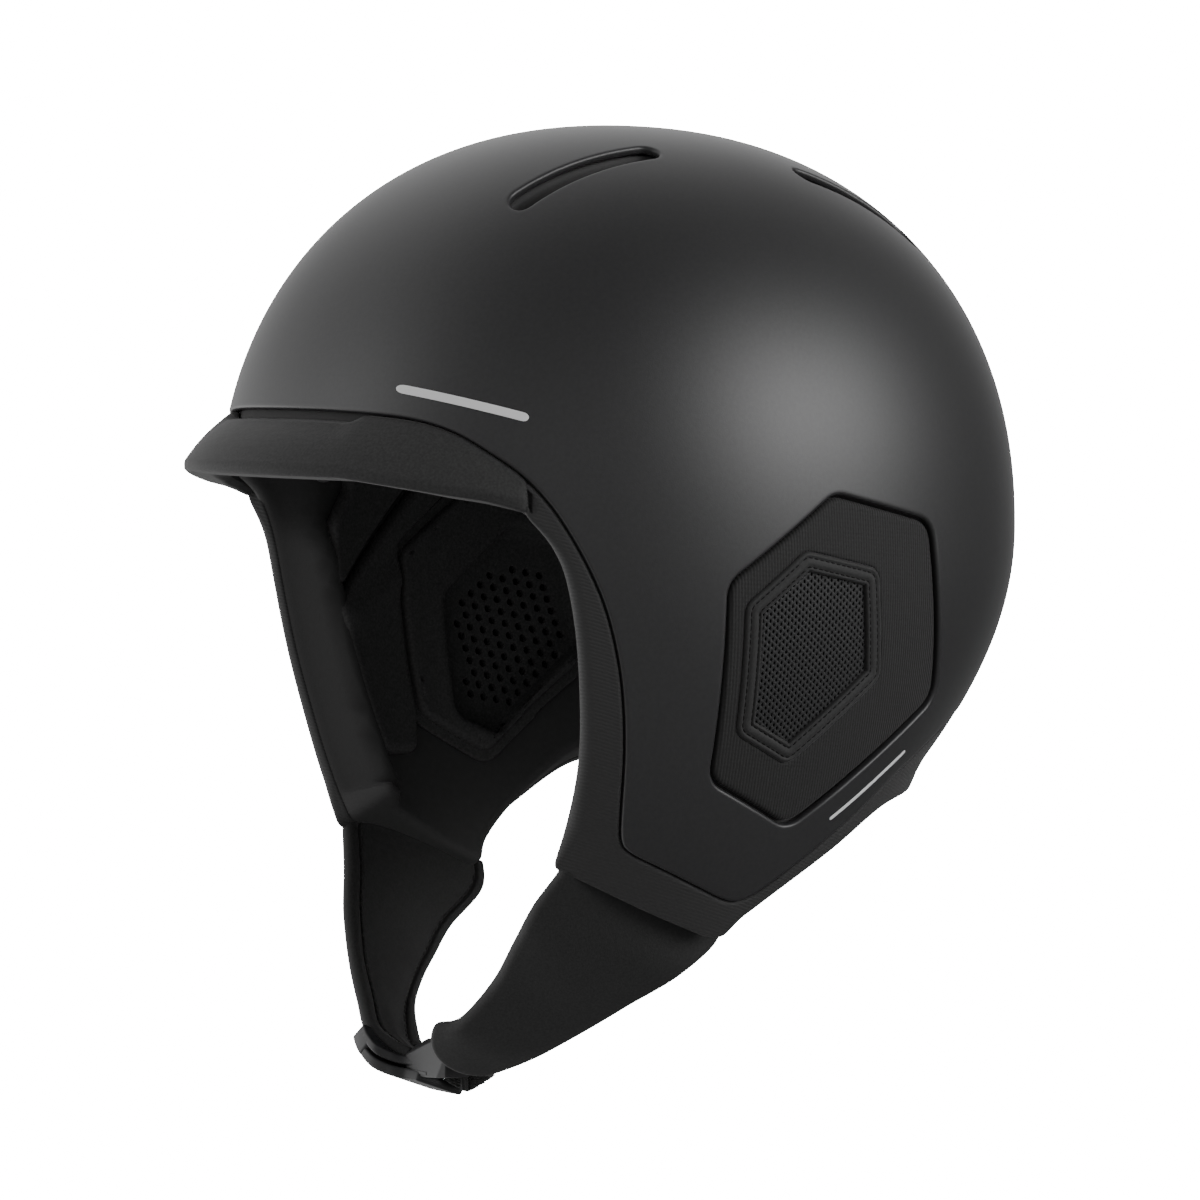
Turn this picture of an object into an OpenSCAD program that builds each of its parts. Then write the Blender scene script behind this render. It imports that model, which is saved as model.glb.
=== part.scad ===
// Open-face water sports helmet: hard outer shell, foam liner, removable soft
// brim, plug-in ear pads with mesh windows, and a two-part neoprene chin strap
// with a magnetic buckle. +Z up, -Y is the front, +X is the wearer's left.
// The origin is the centre of the shell's widest section. Millimetres.

/* [Shell] */
// Half width of the shell at its widest section
half_w = 108; // [104:1:112]
// Distance from the origin to the shell's front
len_front = 120; // [116:1:124]
// Distance from the origin to the shell's back
len_back = 129; // [125:1:133]
// Height of the crown above the origin
crown_h = 122; // [118:1:126]
// Wall of the moulded shell
shell_t = 2.4; // [2:0.1:3]
// Width of the drain and vent slots
vent_w = 10; // [8:0.5:12]

/* [Liner] */
// Thickness of the foam liner
foam_t = 14.6; // [12:0.2:16]
// Thickness of the fitting pads inside the foam
pad_t = 5; // [3:0.5:6]

/* [Brim] */
// How far the brim stands out in front of the shell
brim_out = 14; // [8:1:16]

/* [Ear pads] */
// Gap all round an ear pad in its window
ear_gap = 1; // [0.8:0.1:1.5]

/* [Chin strap] */
// Thickness of the neoprene strap
strap_t = 4.6; // [4:0.2:5]
// Width of the webbing inside the strap
web_w = 18; // [16:1:19]
// Width of the buckle along the strap's width
buckle_w = 24; // [22:1:26]

/* [Hidden] */

// In all that follows, side is 1 on the wearer's left and -1 on the right.

// ---- Form of the helmet: superellipse rings --------------------------------
plan_power = 2.1;
profile_power = 2.2;
// loss of size 100 mm below the origin, growing with the square of the depth
taper_side = 0.22;
taper_front = 0.35;
taper_back = 0.59;
back_knee = 0.7;         // depth at which the back's taper turns straight
back_knee_share = 0.711; // share of len_back left there
back_slope = 0.35;
ring_points = 44;
rings_above = 10;
rings_below = 8;
form_bottom = -122;
reach = 150; // cutting outlines and prisms run this far out
top = 140;   // and this far up

function clip(value, low, high) = min(max(value, low), high);
// share of full size at height z, 1 at the origin and 0 at the crown
function profile(z, height) =
  pow(max(1 - pow(clip(z / height, 0, 1), profile_power), 0), 1 / profile_power);
function depth_below(z) = max(-z, 0) / 100;
function back_share(depth) = depth < back_knee
  ? 1 - taper_back * depth * depth
  : back_knee_share - back_slope * (depth - back_knee);

// radius at height z on the form grown by out; angle 0 is +X, -90 the front
function radius(angle, z, out) =
  let (share = profile(z, crown_h + out),
       depth = depth_below(z),
       width = (half_w + out) * share * (1 - taper_side * depth * depth),
       length = sin(angle) < 0
         ? (len_front + out) * share * (1 - taper_front * depth * depth)
         : (len_back + out) * share * back_share(depth))
  share < 1e-6 ? 0
    : pow(pow(abs(cos(angle)) / width, plan_power)
        + pow(abs(sin(angle)) / length, plan_power), -1 / plan_power);
function surface_point(angle, z, out) =
  let (r = radius(angle, z, out)) [r * cos(angle), r * sin(angle), z];

// Catmull-Rom curve from points[i] to points[i + 1], t from 0 to 1
function spline(points, i, t) =
  let (a = points[max(i - 1, 0)],
       b = points[i],
       c = points[i + 1],
       d = points[min(i + 2, len(points) - 1)])
  0.5 * (2 * b + (c - a) * t + (2 * a - 5 * b + 4 * c - d) * t * t
    + (3 * b - a - 3 * c + d) * t * t * t);
// points with one more placed midway along each curved segment
function smooth(points) = [
  for (i = [0:len(points) - 2]) for (t = [0, 0.5]) spline(points, i, t),
  points[len(points) - 1]];
// place on the curve, along from 0 to 1
function point_at(points, along) =
  let (last = len(points) - 1,
       place = along * last,
       i = clip(floor(place), 0, last - 1))
  spline(points, i, place - i);
function shifted(points, by) = [for (p = points) p + by];

function triangles(quads) =
  [for (q = quads) for (t = [[q[0], q[1], q[2]], [q[0], q[2], q[3]]]) t];
function flipped(faces) = [for (t = faces) [t[0], t[2], t[1]]];
// quads joining rings of count points; ring numbers start at 0
function ring_quads(rings, count, first = 0) =
  [for (k = [0:rings - 2]) for (i = [0:count - 1])
    let (a = first + k * count + i, b = first + k * count + (i + 1) % count)
    [a, b, b + count, a + count]];

// closed solid inside the form grown by out
module form(out, bottom = form_bottom) {
  height = crown_h + out;
  levels = concat(
    [for (k = [1:rings_above]) height * cos(90 * k / rings_above)],
    [for (k = [1:rings_below]) bottom * k / rings_below]);
  rings = len(levels);
  points = concat(
    [[0, 0, height]],
    [for (z = levels) for (i = [0:ring_points - 1])
      surface_point(360 * i / ring_points, z, out)],
    [[0, 0, bottom]]);
  last = rings * ring_points + 1;
  last_ring = last - ring_points;
  faces = concat(
    [for (i = [0:ring_points - 1]) [0, 1 + (i + 1) % ring_points, 1 + i]],
    triangles(ring_quads(rings, ring_points, 1)),
    [for (i = [0:ring_points - 1]) [last, last_ring + i, last_ring + (i + 1) % ring_points]]);
  polyhedron(points, faces);
}

// skin between two offsets of the form, open at the bottom
module layer(outer, inner) difference() {
  form(outer);
  form(inner, form_bottom - 4);
}

// prism right across the helmet from a side-view outline of [y, z] points
module side_view(outline)
  translate([-reach, 0, 0]) rotate([90, 0, 90]) linear_extrude(2 * reach) polygon(outline);

// side-view shape moved to spot [y, z], extruded through one side of the helmet
module one_side(side, spot = [0, 0]) {
  inner_x = 40;
  rotate([90, 0, 90])
    translate([spot[0], spot[1], side > 0 ? inner_x : -reach])
      linear_extrude(reach - inner_x) children();
}

// one-sided prism of an outline grown by grow, with rounded corners
module side_prism(side, outline, corner, grow) one_side(side)
  offset(r = corner, $fn = 24) offset(delta = grow - corner) polygon(outline);

// everything in front of back_y
module front_block(back_y, bottom, height)
  translate([-200, -300, bottom]) cube([400, 300 + back_y, height]);

// holds a piece's faceted geometry together, at its own size
module mesh_solid() resize([0, 0, 0]) children();

// ---- Side-view outlines, [y, z] --------------------------------------------
// shell's lower edge, front to back; face and nape are smoothed
rim_face = [[-115, 37.5], [-103, 35.5], [-95, 32], [-88, 26], [-80, 18], [-72.5, 6.5],
  [-63, -14], [-57, -34], [-53, -54], [-50, -73], [-48, -83]];
rim_jaw = [[-46.5, -86.5], [-43, -89], [-28, -96.5], [-15, -103], [-10, -105]];
rim_nape = [[-4, -102.5], [8, -94], [24, -83], [46, -69], [69, -58], [95, -51], [120, -50]];
shell_outline = concat([[-reach, 37.5]], smooth(rim_face), rim_jaw, smooth(rim_nape),
  [[reach, -50], [reach, top], [-reach, top]]);

// liner's lower edge, front to back; face and nape are smoothed
liner_face = [[-110, 19], [-99, 16.5], [-89, 13], [-81, 8], [-74, -3], [-70, -18],
  [-66, -42], [-63, -62], [-61, -85]];
liner_jaw = [[-55, -95], [-35, -106], [-16, -114], [-11, -114.8]];
liner_nape = [[-6, -110], [6, -101], [22, -91], [41, -80.5], [60, -78], [84, -77.5]];
liner_outline = concat([[-reach, 19]], smooth(liner_face), liner_jaw, smooth(liner_nape),
  [[97, -79], [reach, -79], [reach, top], [-reach, top]]);

// shell's edge moved down by the gap to the liner's outer band
band_jaw = [[-47.1, -87.2], [-43.4, -89.8], [-28.4, -97.3], [-15.3, -103.8], [-9.9, -105.8]];
band_outline = concat([[-reach, 30]], shifted(smooth(rim_face), [-0.6, -0.4]), band_jaw,
  shifted(smooth(rim_nape), [0.3, -0.6]), [[reach, -50.6], [reach, 20], [-reach, 20]]);

ear_window = [[6, 14], [45, 5], [55, -48], [1, -83], [-28, -67.5], [-29, -10.6]];
bezel_outline = [[-4, -2], [23, -8], [27, -40], [-3.5, -64], [-22, -54], [-23, -17]];

// ---- Shell -----------------------------------------------------------------
// vent slots: [x, front y, back y]; the outer ones are on both sides
outer_slots = [[47, -64, -14], [52, 32, 76]];
centre_slot = [0, 8, 60];

module slot(place, side, width) translate([side * place[0], 0, 0]) linear_extrude(160) hull() {
  translate([0, place[1] + width / 2]) circle(d = width, $fn = 20);
  translate([0, place[2] - width / 2]) circle(d = width, $fn = 20);
}
module vents(width) {
  for (side = [-1, 1]) for (place = outer_slots) slot(place, side, width);
  slot(centre_slot, 1, width);
}
module ear_opening(side) side_prism(side, ear_window, corner = 7, grow = 0);

module outer_shell() color([0.16, 0.16, 0.17]) mesh_solid() difference() {
  intersection() {
    layer(outer = 0, inner = -shell_t);
    side_view(shell_outline);
  }
  for (side = [-1, 1]) ear_opening(side);
  vents(vent_w);
}

// ---- Liner and pads --------------------------------------------------------
layer_gap = 0.4;
liner_out = -shell_t - layer_gap;
pad_out = liner_out - foam_t - layer_gap;
anchor_spots = [[-38, -78], [-6, -95]]; // [y, z]
anchor_d = 11;

module anchor_posts(side, diameter, facets)
  for (spot = anchor_spots) one_side(side, spot) circle(d = diameter, $fn = facets);

// outer band of foam, level with the shell, beyond the shell's edge
module liner_band() difference() {
  layer(outer = -0.3, inner = liner_out - 2);
  side_view(shell_outline);
  side_view(band_outline);
  front_block(back_y = -81.5, bottom = -150, height = 300);
}
module impact_liner() color([0.09, 0.09, 0.09]) mesh_solid() difference() {
  intersection() {
    union() {
      layer(outer = liner_out, inner = liner_out - foam_t);
      liner_band();
    }
    side_view(liner_outline);
  }
  for (side = [-1, 1]) {
    ear_opening(side);
    anchor_posts(side, anchor_d + 1, 24);
  }
  vents(vent_w - 2);
}

// pad outlines, [y, z]
crown_outline = [[-140, 44.4], [140, 44.4], [140, top], [-140, top]];
forehead_outline = [[-120, 21], [-58, 12], [-58, 42], [-120, 42]];
nape_outline = [[66, -74], [140, -74], [140, 42], [74, 42]];
temple_outline = [[-55, 42], [-55, 6], [-60, -20], [-52, -80], [-34, -80], [-34, -4],
  [4, 20], [50, 11], [70, 20], [70, 42]];

// fitting pad inside the foam; children are cut away
module pad(outline) difference() {
  intersection() {
    layer(outer = pad_out, inner = pad_out - pad_t);
    side_view(outline);
  }
  children();
}
module crown_pad() color([0.07, 0.07, 0.07]) mesh_solid() pad(crown_outline) vents(vent_w - 1);
module forehead_pad() color([0.08, 0.08, 0.08]) mesh_solid() pad(forehead_outline);
module nape_pad() color([0.08, 0.08, 0.08]) mesh_solid() pad(nape_outline);
module temple_pad(side) color([0.08, 0.08, 0.08]) mesh_solid() intersection() {
  pad(temple_outline);
  translate([side > 0 ? 20 : -220, -200, -200]) cube([200, 400, 400]);
}
module strap_anchors(side) color([0.35, 0.35, 0.37]) mesh_solid() difference() {
  intersection() {
    layer(outer = liner_out - 0.2, inner = liner_out - 1.8);
    anchor_posts(side, anchor_d, 24);
  }
  anchor_posts(side, 4.4, 16);
}
module anchor_rivets() color([0.6, 0.6, 0.62]) mesh_solid() for (side = [-1, 1])
  intersection() {
    layer(outer = liner_out - 0.3, inner = liner_out - 9);
    anchor_posts(side, 4, 16);
  }

// ---- Brim ------------------------------------------------------------------
brim_steps = 28;
brim_start = -136; // angle of the brim's right end
brim_sweep = 92;

// heights of the shell's edge and the brim's edge at y, front part only
function rim_z(y) = lookup(y, [[-150, 37.5], [-115, 37.5], [-107, 36.5], [-103, 35.5],
  [-95, 32], [-88, 26], [-80, 18], [-72, 6]]);
function brim_z(y) = lookup(y, [[-150, 19], [-117, 19], [-108, 18.5], [-102, 16.5],
  [-94, 14], [-88, 12.5], [-80, 9.5]]);
// y of the shell's edge at an angle, closed in on by repeated lookups
function rim_y(angle, rounds = 4) =
  surface_point(angle, rounds == 0 ? 34 : rim_z(rim_y(angle, rounds - 1)), 0)[1];
// how far the brim stands out, t from 0 to 1 between its ends
function flare(t) = 0.6 + (brim_out - 0.6) * pow(sin(180 * t), 0.75);

// cross section: over the outside, round the lower edge and back up the inside
function brim_section(step) =
  let (t = clip(step / brim_steps, 0.001, 0.999),
       angle = brim_start + brim_sweep * t,
       y = rim_y(angle),
       high = rim_z(y) - 0.5,
       low = brim_z(y),
       out = flare(t))
  [for (p = [[high, -0.4], [high - 2, 0.8 + 0.1 * out], [low + 3, out], [low, out - 1.2],
      [low - 1, max(out - 9, -0.8)], [low + 1, -0.8], [high, -0.801]])
    surface_point(angle, p[0], p[1])];

module brim_form() {
  count = 7; // points in a section
  points = [for (step = [0:brim_steps]) for (p = brim_section(step)) p];
  end_cap = [[0, 6, 1], [1, 6, 5], [1, 5, 2], [2, 5, 4], [2, 4, 3]];
  shift = brim_steps * count;
  faces = concat(triangles(ring_quads(brim_steps + 1, count)), end_cap,
    [for (t = flipped(end_cap)) [for (v = t) v + shift]]);
  polyhedron(points, flipped(faces));
}
module brim() color([0.14, 0.14, 0.14]) mesh_solid() intersection() {
  brim_form();
  front_block(back_y = -82.5, bottom = -50, height = 200);
}
module brim_strip(outer, inner) mesh_solid() intersection() {
  layer(outer, inner);
  side_view([[-150, 23], [-96, 21], [-96, 29], [-150, 32]]);
}
module brim_hook_strip() color([0.04, 0.04, 0.04]) brim_strip(outer = -1.95, inner = -2.6);
module brim_loop_strip() color([0.05, 0.05, 0.05]) brim_strip(outer = -1.0, inner = -1.75);

// ---- Ear pads --------------------------------------------------------------
module ear_body(side) side_prism(side, ear_window, corner = 6, grow = -ear_gap);
module bezel_opening(side) side_prism(side, bezel_outline, corner = 4, grow = -5.6);

module ear_panel(side) color([0.1, 0.1, 0.1]) mesh_solid() difference() {
  intersection() {
    layer(outer = -1.6, inner = -11);
    ear_body(side);
  }
  bezel_opening(side);
  // recess for the bezel
  intersection() {
    layer(outer = 5, inner = -2.4);
    side_prism(side, bezel_outline, corner = 5, grow = 0.3);
  }
}
module ear_bezel(side) color([0.13, 0.13, 0.13]) mesh_solid() difference() {
  intersection() {
    layer(outer = -0.5, inner = -2.2);
    side_prism(side, bezel_outline, corner = 5, grow = 0);
  }
  bezel_opening(side);
}
module ear_mesh(side) color([0.06, 0.06, 0.06]) mesh_solid() intersection() {
  layer(outer = -1.4, inner = -2.8);
  side_prism(side, bezel_outline, corner = 4, grow = -6);
}
module ear_cushion(side) color([0.07, 0.07, 0.07]) mesh_solid() intersection() {
  layer(outer = -11.3, inner = -14.5);
  ear_body(side);
}

// ---- Chin strap ------------------------------------------------------------
// each strap: [front edge, rear edge, side]; edges are [x, y, z] from helmet to chin
left_strap = [
  [[64.2, -60, -97.8], [55, -63.5, -105], [44, -63.5, -117],
   [33, -64, -128.5], [24, -67.5, -138.5], [16, -71, -147]],
  [[74.8, -11.5, -120.8], [66, -17, -127], [53, -26, -136],
   [40, -34, -145], [28, -43, -153.5], [17.5, -51.5, -159.5]],
  1];
right_strap = [
  [[-64.2, -60, -97.8], [-58, -62.5, -106], [-50, -66.5, -118],
   [-40, -70, -131], [-30, -73, -141.5], [-21, -75.5, -150]],
  [[-74.8, -11.5, -120.8], [-66, -17, -126], [-55, -26, -133],
   [-45, -35.5, -139], [-34, -45, -145.5], [-21, -54, -153]],
  -1];
strap_steps = 12;
web_t = 1.4;

// along runs 0 to 1 from helmet to chin, over runs 0 to 1 from front to rear edge
function width_vector(strap, along) = point_at(strap[1], along) - point_at(strap[0], along);
function mid_point(strap, along, over) =
  point_at(strap[0], along) + width_vector(strap, along) * over;
function strap_normal(strap, along, over) =
  let (step = mid_point(strap, along + 0.02, over) - mid_point(strap, along - 0.02, over),
       normal = cross(width_vector(strap, along), step))
  strap[2] * normal / norm(normal);
// outward bulge at mid width, larger on the left strap
function bulge(strap, along) = 1.5 + (strap[2] > 0 ? 3 : 0.3) * along;
function strap_point(strap, along, over, out) = mid_point(strap, along, over)
  + strap_normal(strap, clip(along, 0.03, 0.97), over)
  * (out + 4 * over * (1 - over) * bulge(strap, along));
// half of a band's width as a share of the strap's; width 0 is the full strap
function half_share(strap, along, width) =
  width <= 0 ? 0.5 : min(0.45, width / 2 / norm(width_vector(strap, along)));

// closed sheet about the strap's mid surface; cells is the count over its width
module sheet(strap, start, end, thick, width = 0, cells = 6) {
  steps = strap_steps;
  row = cells + 1;
  points = [for (out = [-thick / 2, thick / 2]) for (i = [0:steps])
    let (along = start + (end - start) * i / steps, half = half_share(strap, along, width))
    for (j = [0:cells]) strap_point(strap, along, 0.5 + half * (2 * j / cells - 1), out)];
  // index of point j of row i on the inner (0) or outer (1) face
  function id(face, i, j) = face * (steps + 1) * row + i * row + j;
  quads = concat(
    [for (i = [0:steps - 1]) for (j = [0:cells - 1])
      [id(0, i, j), id(0, i, j + 1), id(0, i + 1, j + 1), id(0, i + 1, j)]],
    [for (i = [0:steps - 1]) for (j = [0:cells - 1])
      [id(1, i, j), id(1, i + 1, j), id(1, i + 1, j + 1), id(1, i, j + 1)]],
    [for (i = [0:steps - 1]) [id(0, i, 0), id(0, i + 1, 0), id(1, i + 1, 0), id(1, i, 0)]],
    [for (i = [0:steps - 1])
      [id(0, i, cells), id(1, i, cells), id(1, i + 1, cells), id(0, i + 1, cells)]],
    [for (j = [0:cells - 1]) [id(0, 0, j), id(1, 0, j), id(1, 0, j + 1), id(0, 0, j + 1)]],
    [for (j = [0:cells - 1])
      [id(0, steps, j), id(0, steps, j + 1), id(1, steps, j + 1), id(1, steps, j)]]);
  faces = triangles(quads);
  polyhedron(points, strap[2] > 0 ? faces : flipped(faces));
}

module chin_strap(strap) color([0.1, 0.1, 0.1]) mesh_solid() difference() {
  sheet(strap, 0, 1, strap_t);
  // channel for the webbing, open at the chin end
  sheet(strap, 0.03, 1.02, web_t + 0.6, web_w + 1.2, 4);
}
module webbing(strap) color([0.05, 0.05, 0.05]) mesh_solid()
  sheet(strap, 0.05, 0.985, web_t, web_w, 4);

// ---- Buckle ----------------------------------------------------------------
buckle_at = [0, -66, -155];
buckle_tilt = -10;
joint_lean = 28; // lean of the joint face between the two halves
joint_x = 0.4;   // its place along its own normal
body_z = [-4.5, 4.5];
tongue_w = buckle_w - 1;
latch_x = [2.7, 11.3];
latch_z = [-3.5, -1.3];
latch_play = [-0.2, 0.2];
rib_out = 1.2;
magnet_d = 8;
magnet_h = 2.4;
magnet_play = 0.15; // at each flat face
socket_magnet_at = [7.5, 0, 0.15];
tongue_magnet_at = [-7.5, 0, -1.2];
keeper_x = [7, 13];

module buckle_frame() translate(buckle_at) rotate([buckle_tilt, 0, 0]) children();
// block filling one side of the joint face
module joint_side(side) rotate([0, joint_lean, 0])
  translate([side > 0 ? joint_x : joint_x - 60, -40, -40]) cube([60, 80, 80]);
// box from ranges in x and z, centred in y
module bar(xs, zs, width)
  translate([xs[0], -width / 2, zs[0]]) cube([xs[1] - xs[0], width, zs[1] - zs[0]]);
module magnet(place) translate(place) cylinder(d = magnet_d, h = magnet_h, $fn = 48);
module magnet_pocket(place) translate(place - [0, 0, magnet_play])
  cylinder(d = magnet_d + 0.2, h = magnet_h + 2 * magnet_play, $fn = 48);

module buckle_socket() color([0.3, 0.3, 0.32]) buckle_frame() difference() {
  bar([-8, 13], body_z, buckle_w);
  joint_side(-1);
  magnet_pocket(socket_magnet_at);
  bar(latch_x + latch_play, latch_z + latch_play, buckle_w + 2);
}
module buckle_latch() color([0.22, 0.22, 0.24]) buckle_frame() union() {
  bar(latch_x, latch_z, buckle_w + 0.6);
  // ribs on the front end
  for (x = [3.4:1.9:10.4]) translate([x, -buckle_w / 2 - rib_out, latch_z[0]])
    cube([0.9, rib_out, latch_z[1] - latch_z[0]]);
}
module socket_magnet() color([0.7, 0.7, 0.72]) buckle_frame() magnet(socket_magnet_at);
module buckle_tongue() color([0.3, 0.3, 0.32]) buckle_frame() difference() {
  union() {
    bar([-12, 6], body_z, tongue_w);
    bar([-29, -11.9], [body_z[0], -1.6], tongue_w);
  }
  joint_side(1);
  magnet_pocket(tongue_magnet_at);
  // slot through the thin tail
  bar([-24, -20], [-6, 2], web_w + 1.5);
}
module tongue_magnet() color([0.7, 0.7, 0.72]) buckle_frame() magnet(tongue_magnet_at);
// three layers of spare webbing under the socket, each shorter than the one above
module folded_webbing() color([0.06, 0.06, 0.06]) buckle_frame() for (k = [0:2])
  translate([3 + k * 0.8, -web_w / 2, -8.2 - k * 1.9]) cube([18 - k * 1.2, web_w, 1.5]);
// elastic loop round the folded webbing
module webbing_keeper() color([0.08, 0.08, 0.08]) buckle_frame() difference() {
  bar(keeper_x, [-13.2, -5.2], web_w + 3);
  bar(keeper_x + [-1, 1], [-12.3, -6.1], web_w + 1);
}

outer_shell();
impact_liner();
brim();
brim_hook_strip();
brim_loop_strip();
crown_pad();
forehead_pad();
nape_pad();
temple_pad(1);  // temple_pad_left
temple_pad(-1);  // temple_pad_right
ear_panel(1);  // ear_panel_left
ear_panel(-1);  // ear_panel_right
ear_bezel(1);  // ear_bezel_left
ear_bezel(-1);  // ear_bezel_right
ear_mesh(1);  // ear_mesh_left
ear_mesh(-1);  // ear_mesh_right
ear_cushion(1);  // ear_cushion_left
ear_cushion(-1);  // ear_cushion_right
strap_anchors(1);  // strap_anchors_left
strap_anchors(-1);  // strap_anchors_right
anchor_rivets();
chin_strap(left_strap);  // chin_strap_left
chin_strap(right_strap);  // chin_strap_right
webbing(left_strap);  // webbing_left
webbing(right_strap);  // webbing_right
folded_webbing();
webbing_keeper();
buckle_socket();
buckle_tongue();
buckle_latch();
socket_magnet();
tongue_magnet();
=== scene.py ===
# A helmet with a brim, ear pads, inner pads and two chin straps that meet in a buckle.
# Lengths are millimetres unless noted and turn into metres as each mesh is made.
# x points to the wearer's left, y to the back, z up; the crown is at z = HEIGHT.
# "Side view" pairs are [y, z]. "Offset" is a distance out from the helmet's form.
import math

import bmesh
import bpy
import numpy as np
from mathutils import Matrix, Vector
from mathutils.geometry import delaunay_2d_cdt


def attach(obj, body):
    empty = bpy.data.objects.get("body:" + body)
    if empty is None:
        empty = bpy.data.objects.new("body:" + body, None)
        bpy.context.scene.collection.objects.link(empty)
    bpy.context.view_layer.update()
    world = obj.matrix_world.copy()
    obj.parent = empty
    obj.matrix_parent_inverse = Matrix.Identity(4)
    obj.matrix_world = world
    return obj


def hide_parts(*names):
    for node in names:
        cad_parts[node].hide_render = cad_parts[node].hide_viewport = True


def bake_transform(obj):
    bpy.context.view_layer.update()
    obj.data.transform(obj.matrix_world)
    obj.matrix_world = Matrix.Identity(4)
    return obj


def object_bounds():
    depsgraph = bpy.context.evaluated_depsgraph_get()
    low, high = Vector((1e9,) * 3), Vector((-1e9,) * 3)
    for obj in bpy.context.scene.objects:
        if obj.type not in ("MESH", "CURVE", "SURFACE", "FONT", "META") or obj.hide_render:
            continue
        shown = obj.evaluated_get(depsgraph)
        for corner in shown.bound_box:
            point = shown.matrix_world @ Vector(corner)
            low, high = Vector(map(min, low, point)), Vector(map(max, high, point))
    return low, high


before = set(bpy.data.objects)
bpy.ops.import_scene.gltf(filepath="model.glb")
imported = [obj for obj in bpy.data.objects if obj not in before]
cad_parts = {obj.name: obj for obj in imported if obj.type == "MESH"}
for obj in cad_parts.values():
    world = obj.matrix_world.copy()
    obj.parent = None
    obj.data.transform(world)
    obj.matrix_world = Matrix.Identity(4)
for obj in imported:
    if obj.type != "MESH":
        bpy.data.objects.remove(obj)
cad_low, cad_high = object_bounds()

MM = 0.001
SIDES = ((1, "left"), (-1, "right"))

# ---------------------------------------------------------------- the helmet's form
HALF_WIDTH, FRONT, REAR, HEIGHT = 108.0, 120.0, 129.0, 122.0
PLAN_POWER, RISE_POWER = 2.1, 2.2  # roundness in plan and in elevation
GRID_RADIUS = 115  # typical radius, for spacing rows of points
SKIRT = 110  # length per radian below z = 0


def array(values):
    return np.asarray(values, float)


def smooth_step(share):
    share = np.clip(share, 0, 1)
    return share * share * (3 - 2 * share)


def unit(vector):
    return vector / np.linalg.norm(vector)


def unit_rows(vectors):
    return vectors / np.linalg.norm(vectors, axis=-1, keepdims=True)


def tapers(z):
    """Factors on width, front and rear length; all are 1 above z = 0."""
    drop = np.maximum(-z, 0) / 100
    rear = np.where(drop < 0.7, 1 - 0.59 * drop * drop, 0.711 - 0.35 * (drop - 0.7))
    return 1 - 0.22 * drop * drop, 1 - 0.35 * drop * drop, rear


def half_length(y, front=1, rear=1):
    """Half length of the form; the two halves blend over 8 mm."""
    share = smooth_step(y / 8 + 0.5)
    return FRONT * front * (1 - share) + REAR * rear * share


def form(points):
    """Zero on the form, negative inside it."""
    x, y, z = points[..., 0], points[..., 1], points[..., 2]
    width, front, rear = tapers(z)
    plan = (np.abs(x / (HALF_WIDTH * width)) ** PLAN_POWER
            + np.abs(y / half_length(y, front, rear)) ** PLAN_POWER)
    rise = (np.maximum(z, 0) / HEIGHT) ** RISE_POWER
    return np.maximum(plan, 1e-12) ** (RISE_POWER / PLAN_POWER) + rise - 1


def gradient(points):
    slope = np.zeros_like(points)
    for axis in range(3):
        step = np.zeros(3)
        step[axis] = 0.02
        slope[..., axis] = (form(points + step) - form(points - step)) / 0.04
    return slope


def onto(points):
    """Nearest points on the form."""
    points = array(points)
    for _ in range(4):
        value, slope = form(points), gradient(points)
        squared = np.maximum((slope * slope).sum(-1), 1e-12)
        points = points - (value / squared)[..., None] * slope
    return points


def normal(points):
    return unit_rows(gradient(points))


def lift(base, offset):
    """Points of the form moved out along its normal; offset may differ from point to point."""
    offset = array(offset) + np.zeros(len(base))
    return base + normal(base) * offset[:, None]


def side_x(y, z):
    """Positive x of the form at side-view places."""
    y, z = array(y), array(z)
    width, front, rear = tapers(z)
    rise = (np.maximum(z, 0) / HEIGHT) ** RISE_POWER
    left_over = (np.maximum(1 - rise, 0) ** (PLAN_POWER / RISE_POWER)
                 - np.abs(y / half_length(y, front, rear)) ** PLAN_POWER)
    return HALF_WIDTH * width * np.maximum(left_over, 0) ** (1 / PLAN_POWER)


def on_side(places, side):
    """3-D points of the form at side-view places; side is 1 for left, -1 for right."""
    return np.column_stack([side * side_x(places[:, 0], places[:, 1]), places])


def ring_point(angle, z, offset=0.0):
    """Points of the form at an angle round z (from +x towards +y) and a height."""
    angle, z = np.broadcast_arrays(array(angle), array(z))
    width, front, rear = tapers(z)
    rise = np.clip(z / (HEIGHT + offset), 0, 1) ** RISE_POWER
    scale = np.maximum(1 - rise, 0) ** (1 / RISE_POWER)
    cos, sin = np.cos(angle), np.sin(angle)
    length = np.where(sin < 0, (FRONT + offset) * front, (REAR + offset) * rear)
    radius = (np.abs(cos / ((HALF_WIDTH + offset) * width * scale + 1e-9)) ** PLAN_POWER
              + np.abs(sin / (length * scale + 1e-9)) ** PLAN_POWER) ** (-1 / PLAN_POWER)
    return np.stack([radius * cos, radius * sin, z], -1)


# ---------------------------------------------------------------- curves
def catmull_at(points, i, share):
    """Catmull-Rom point between points i and i + 1."""
    before, start = points[max(i - 1, 0)], points[i]
    end, after = points[i + 1], points[min(i + 2, len(points) - 1)]
    return 0.5 * (2 * start + (end - before) * share
                  + (2 * before - 5 * start + 4 * end - after) * share * share
                  + (3 * start - before - 3 * end + after) * share ** 3)


def catmull(points, steps):
    points = array(points)
    curve = [catmull_at(points, i, k / steps) for i in range(len(points) - 1)
             for k in range(steps)]
    return array(curve + [points[-1]])


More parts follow.
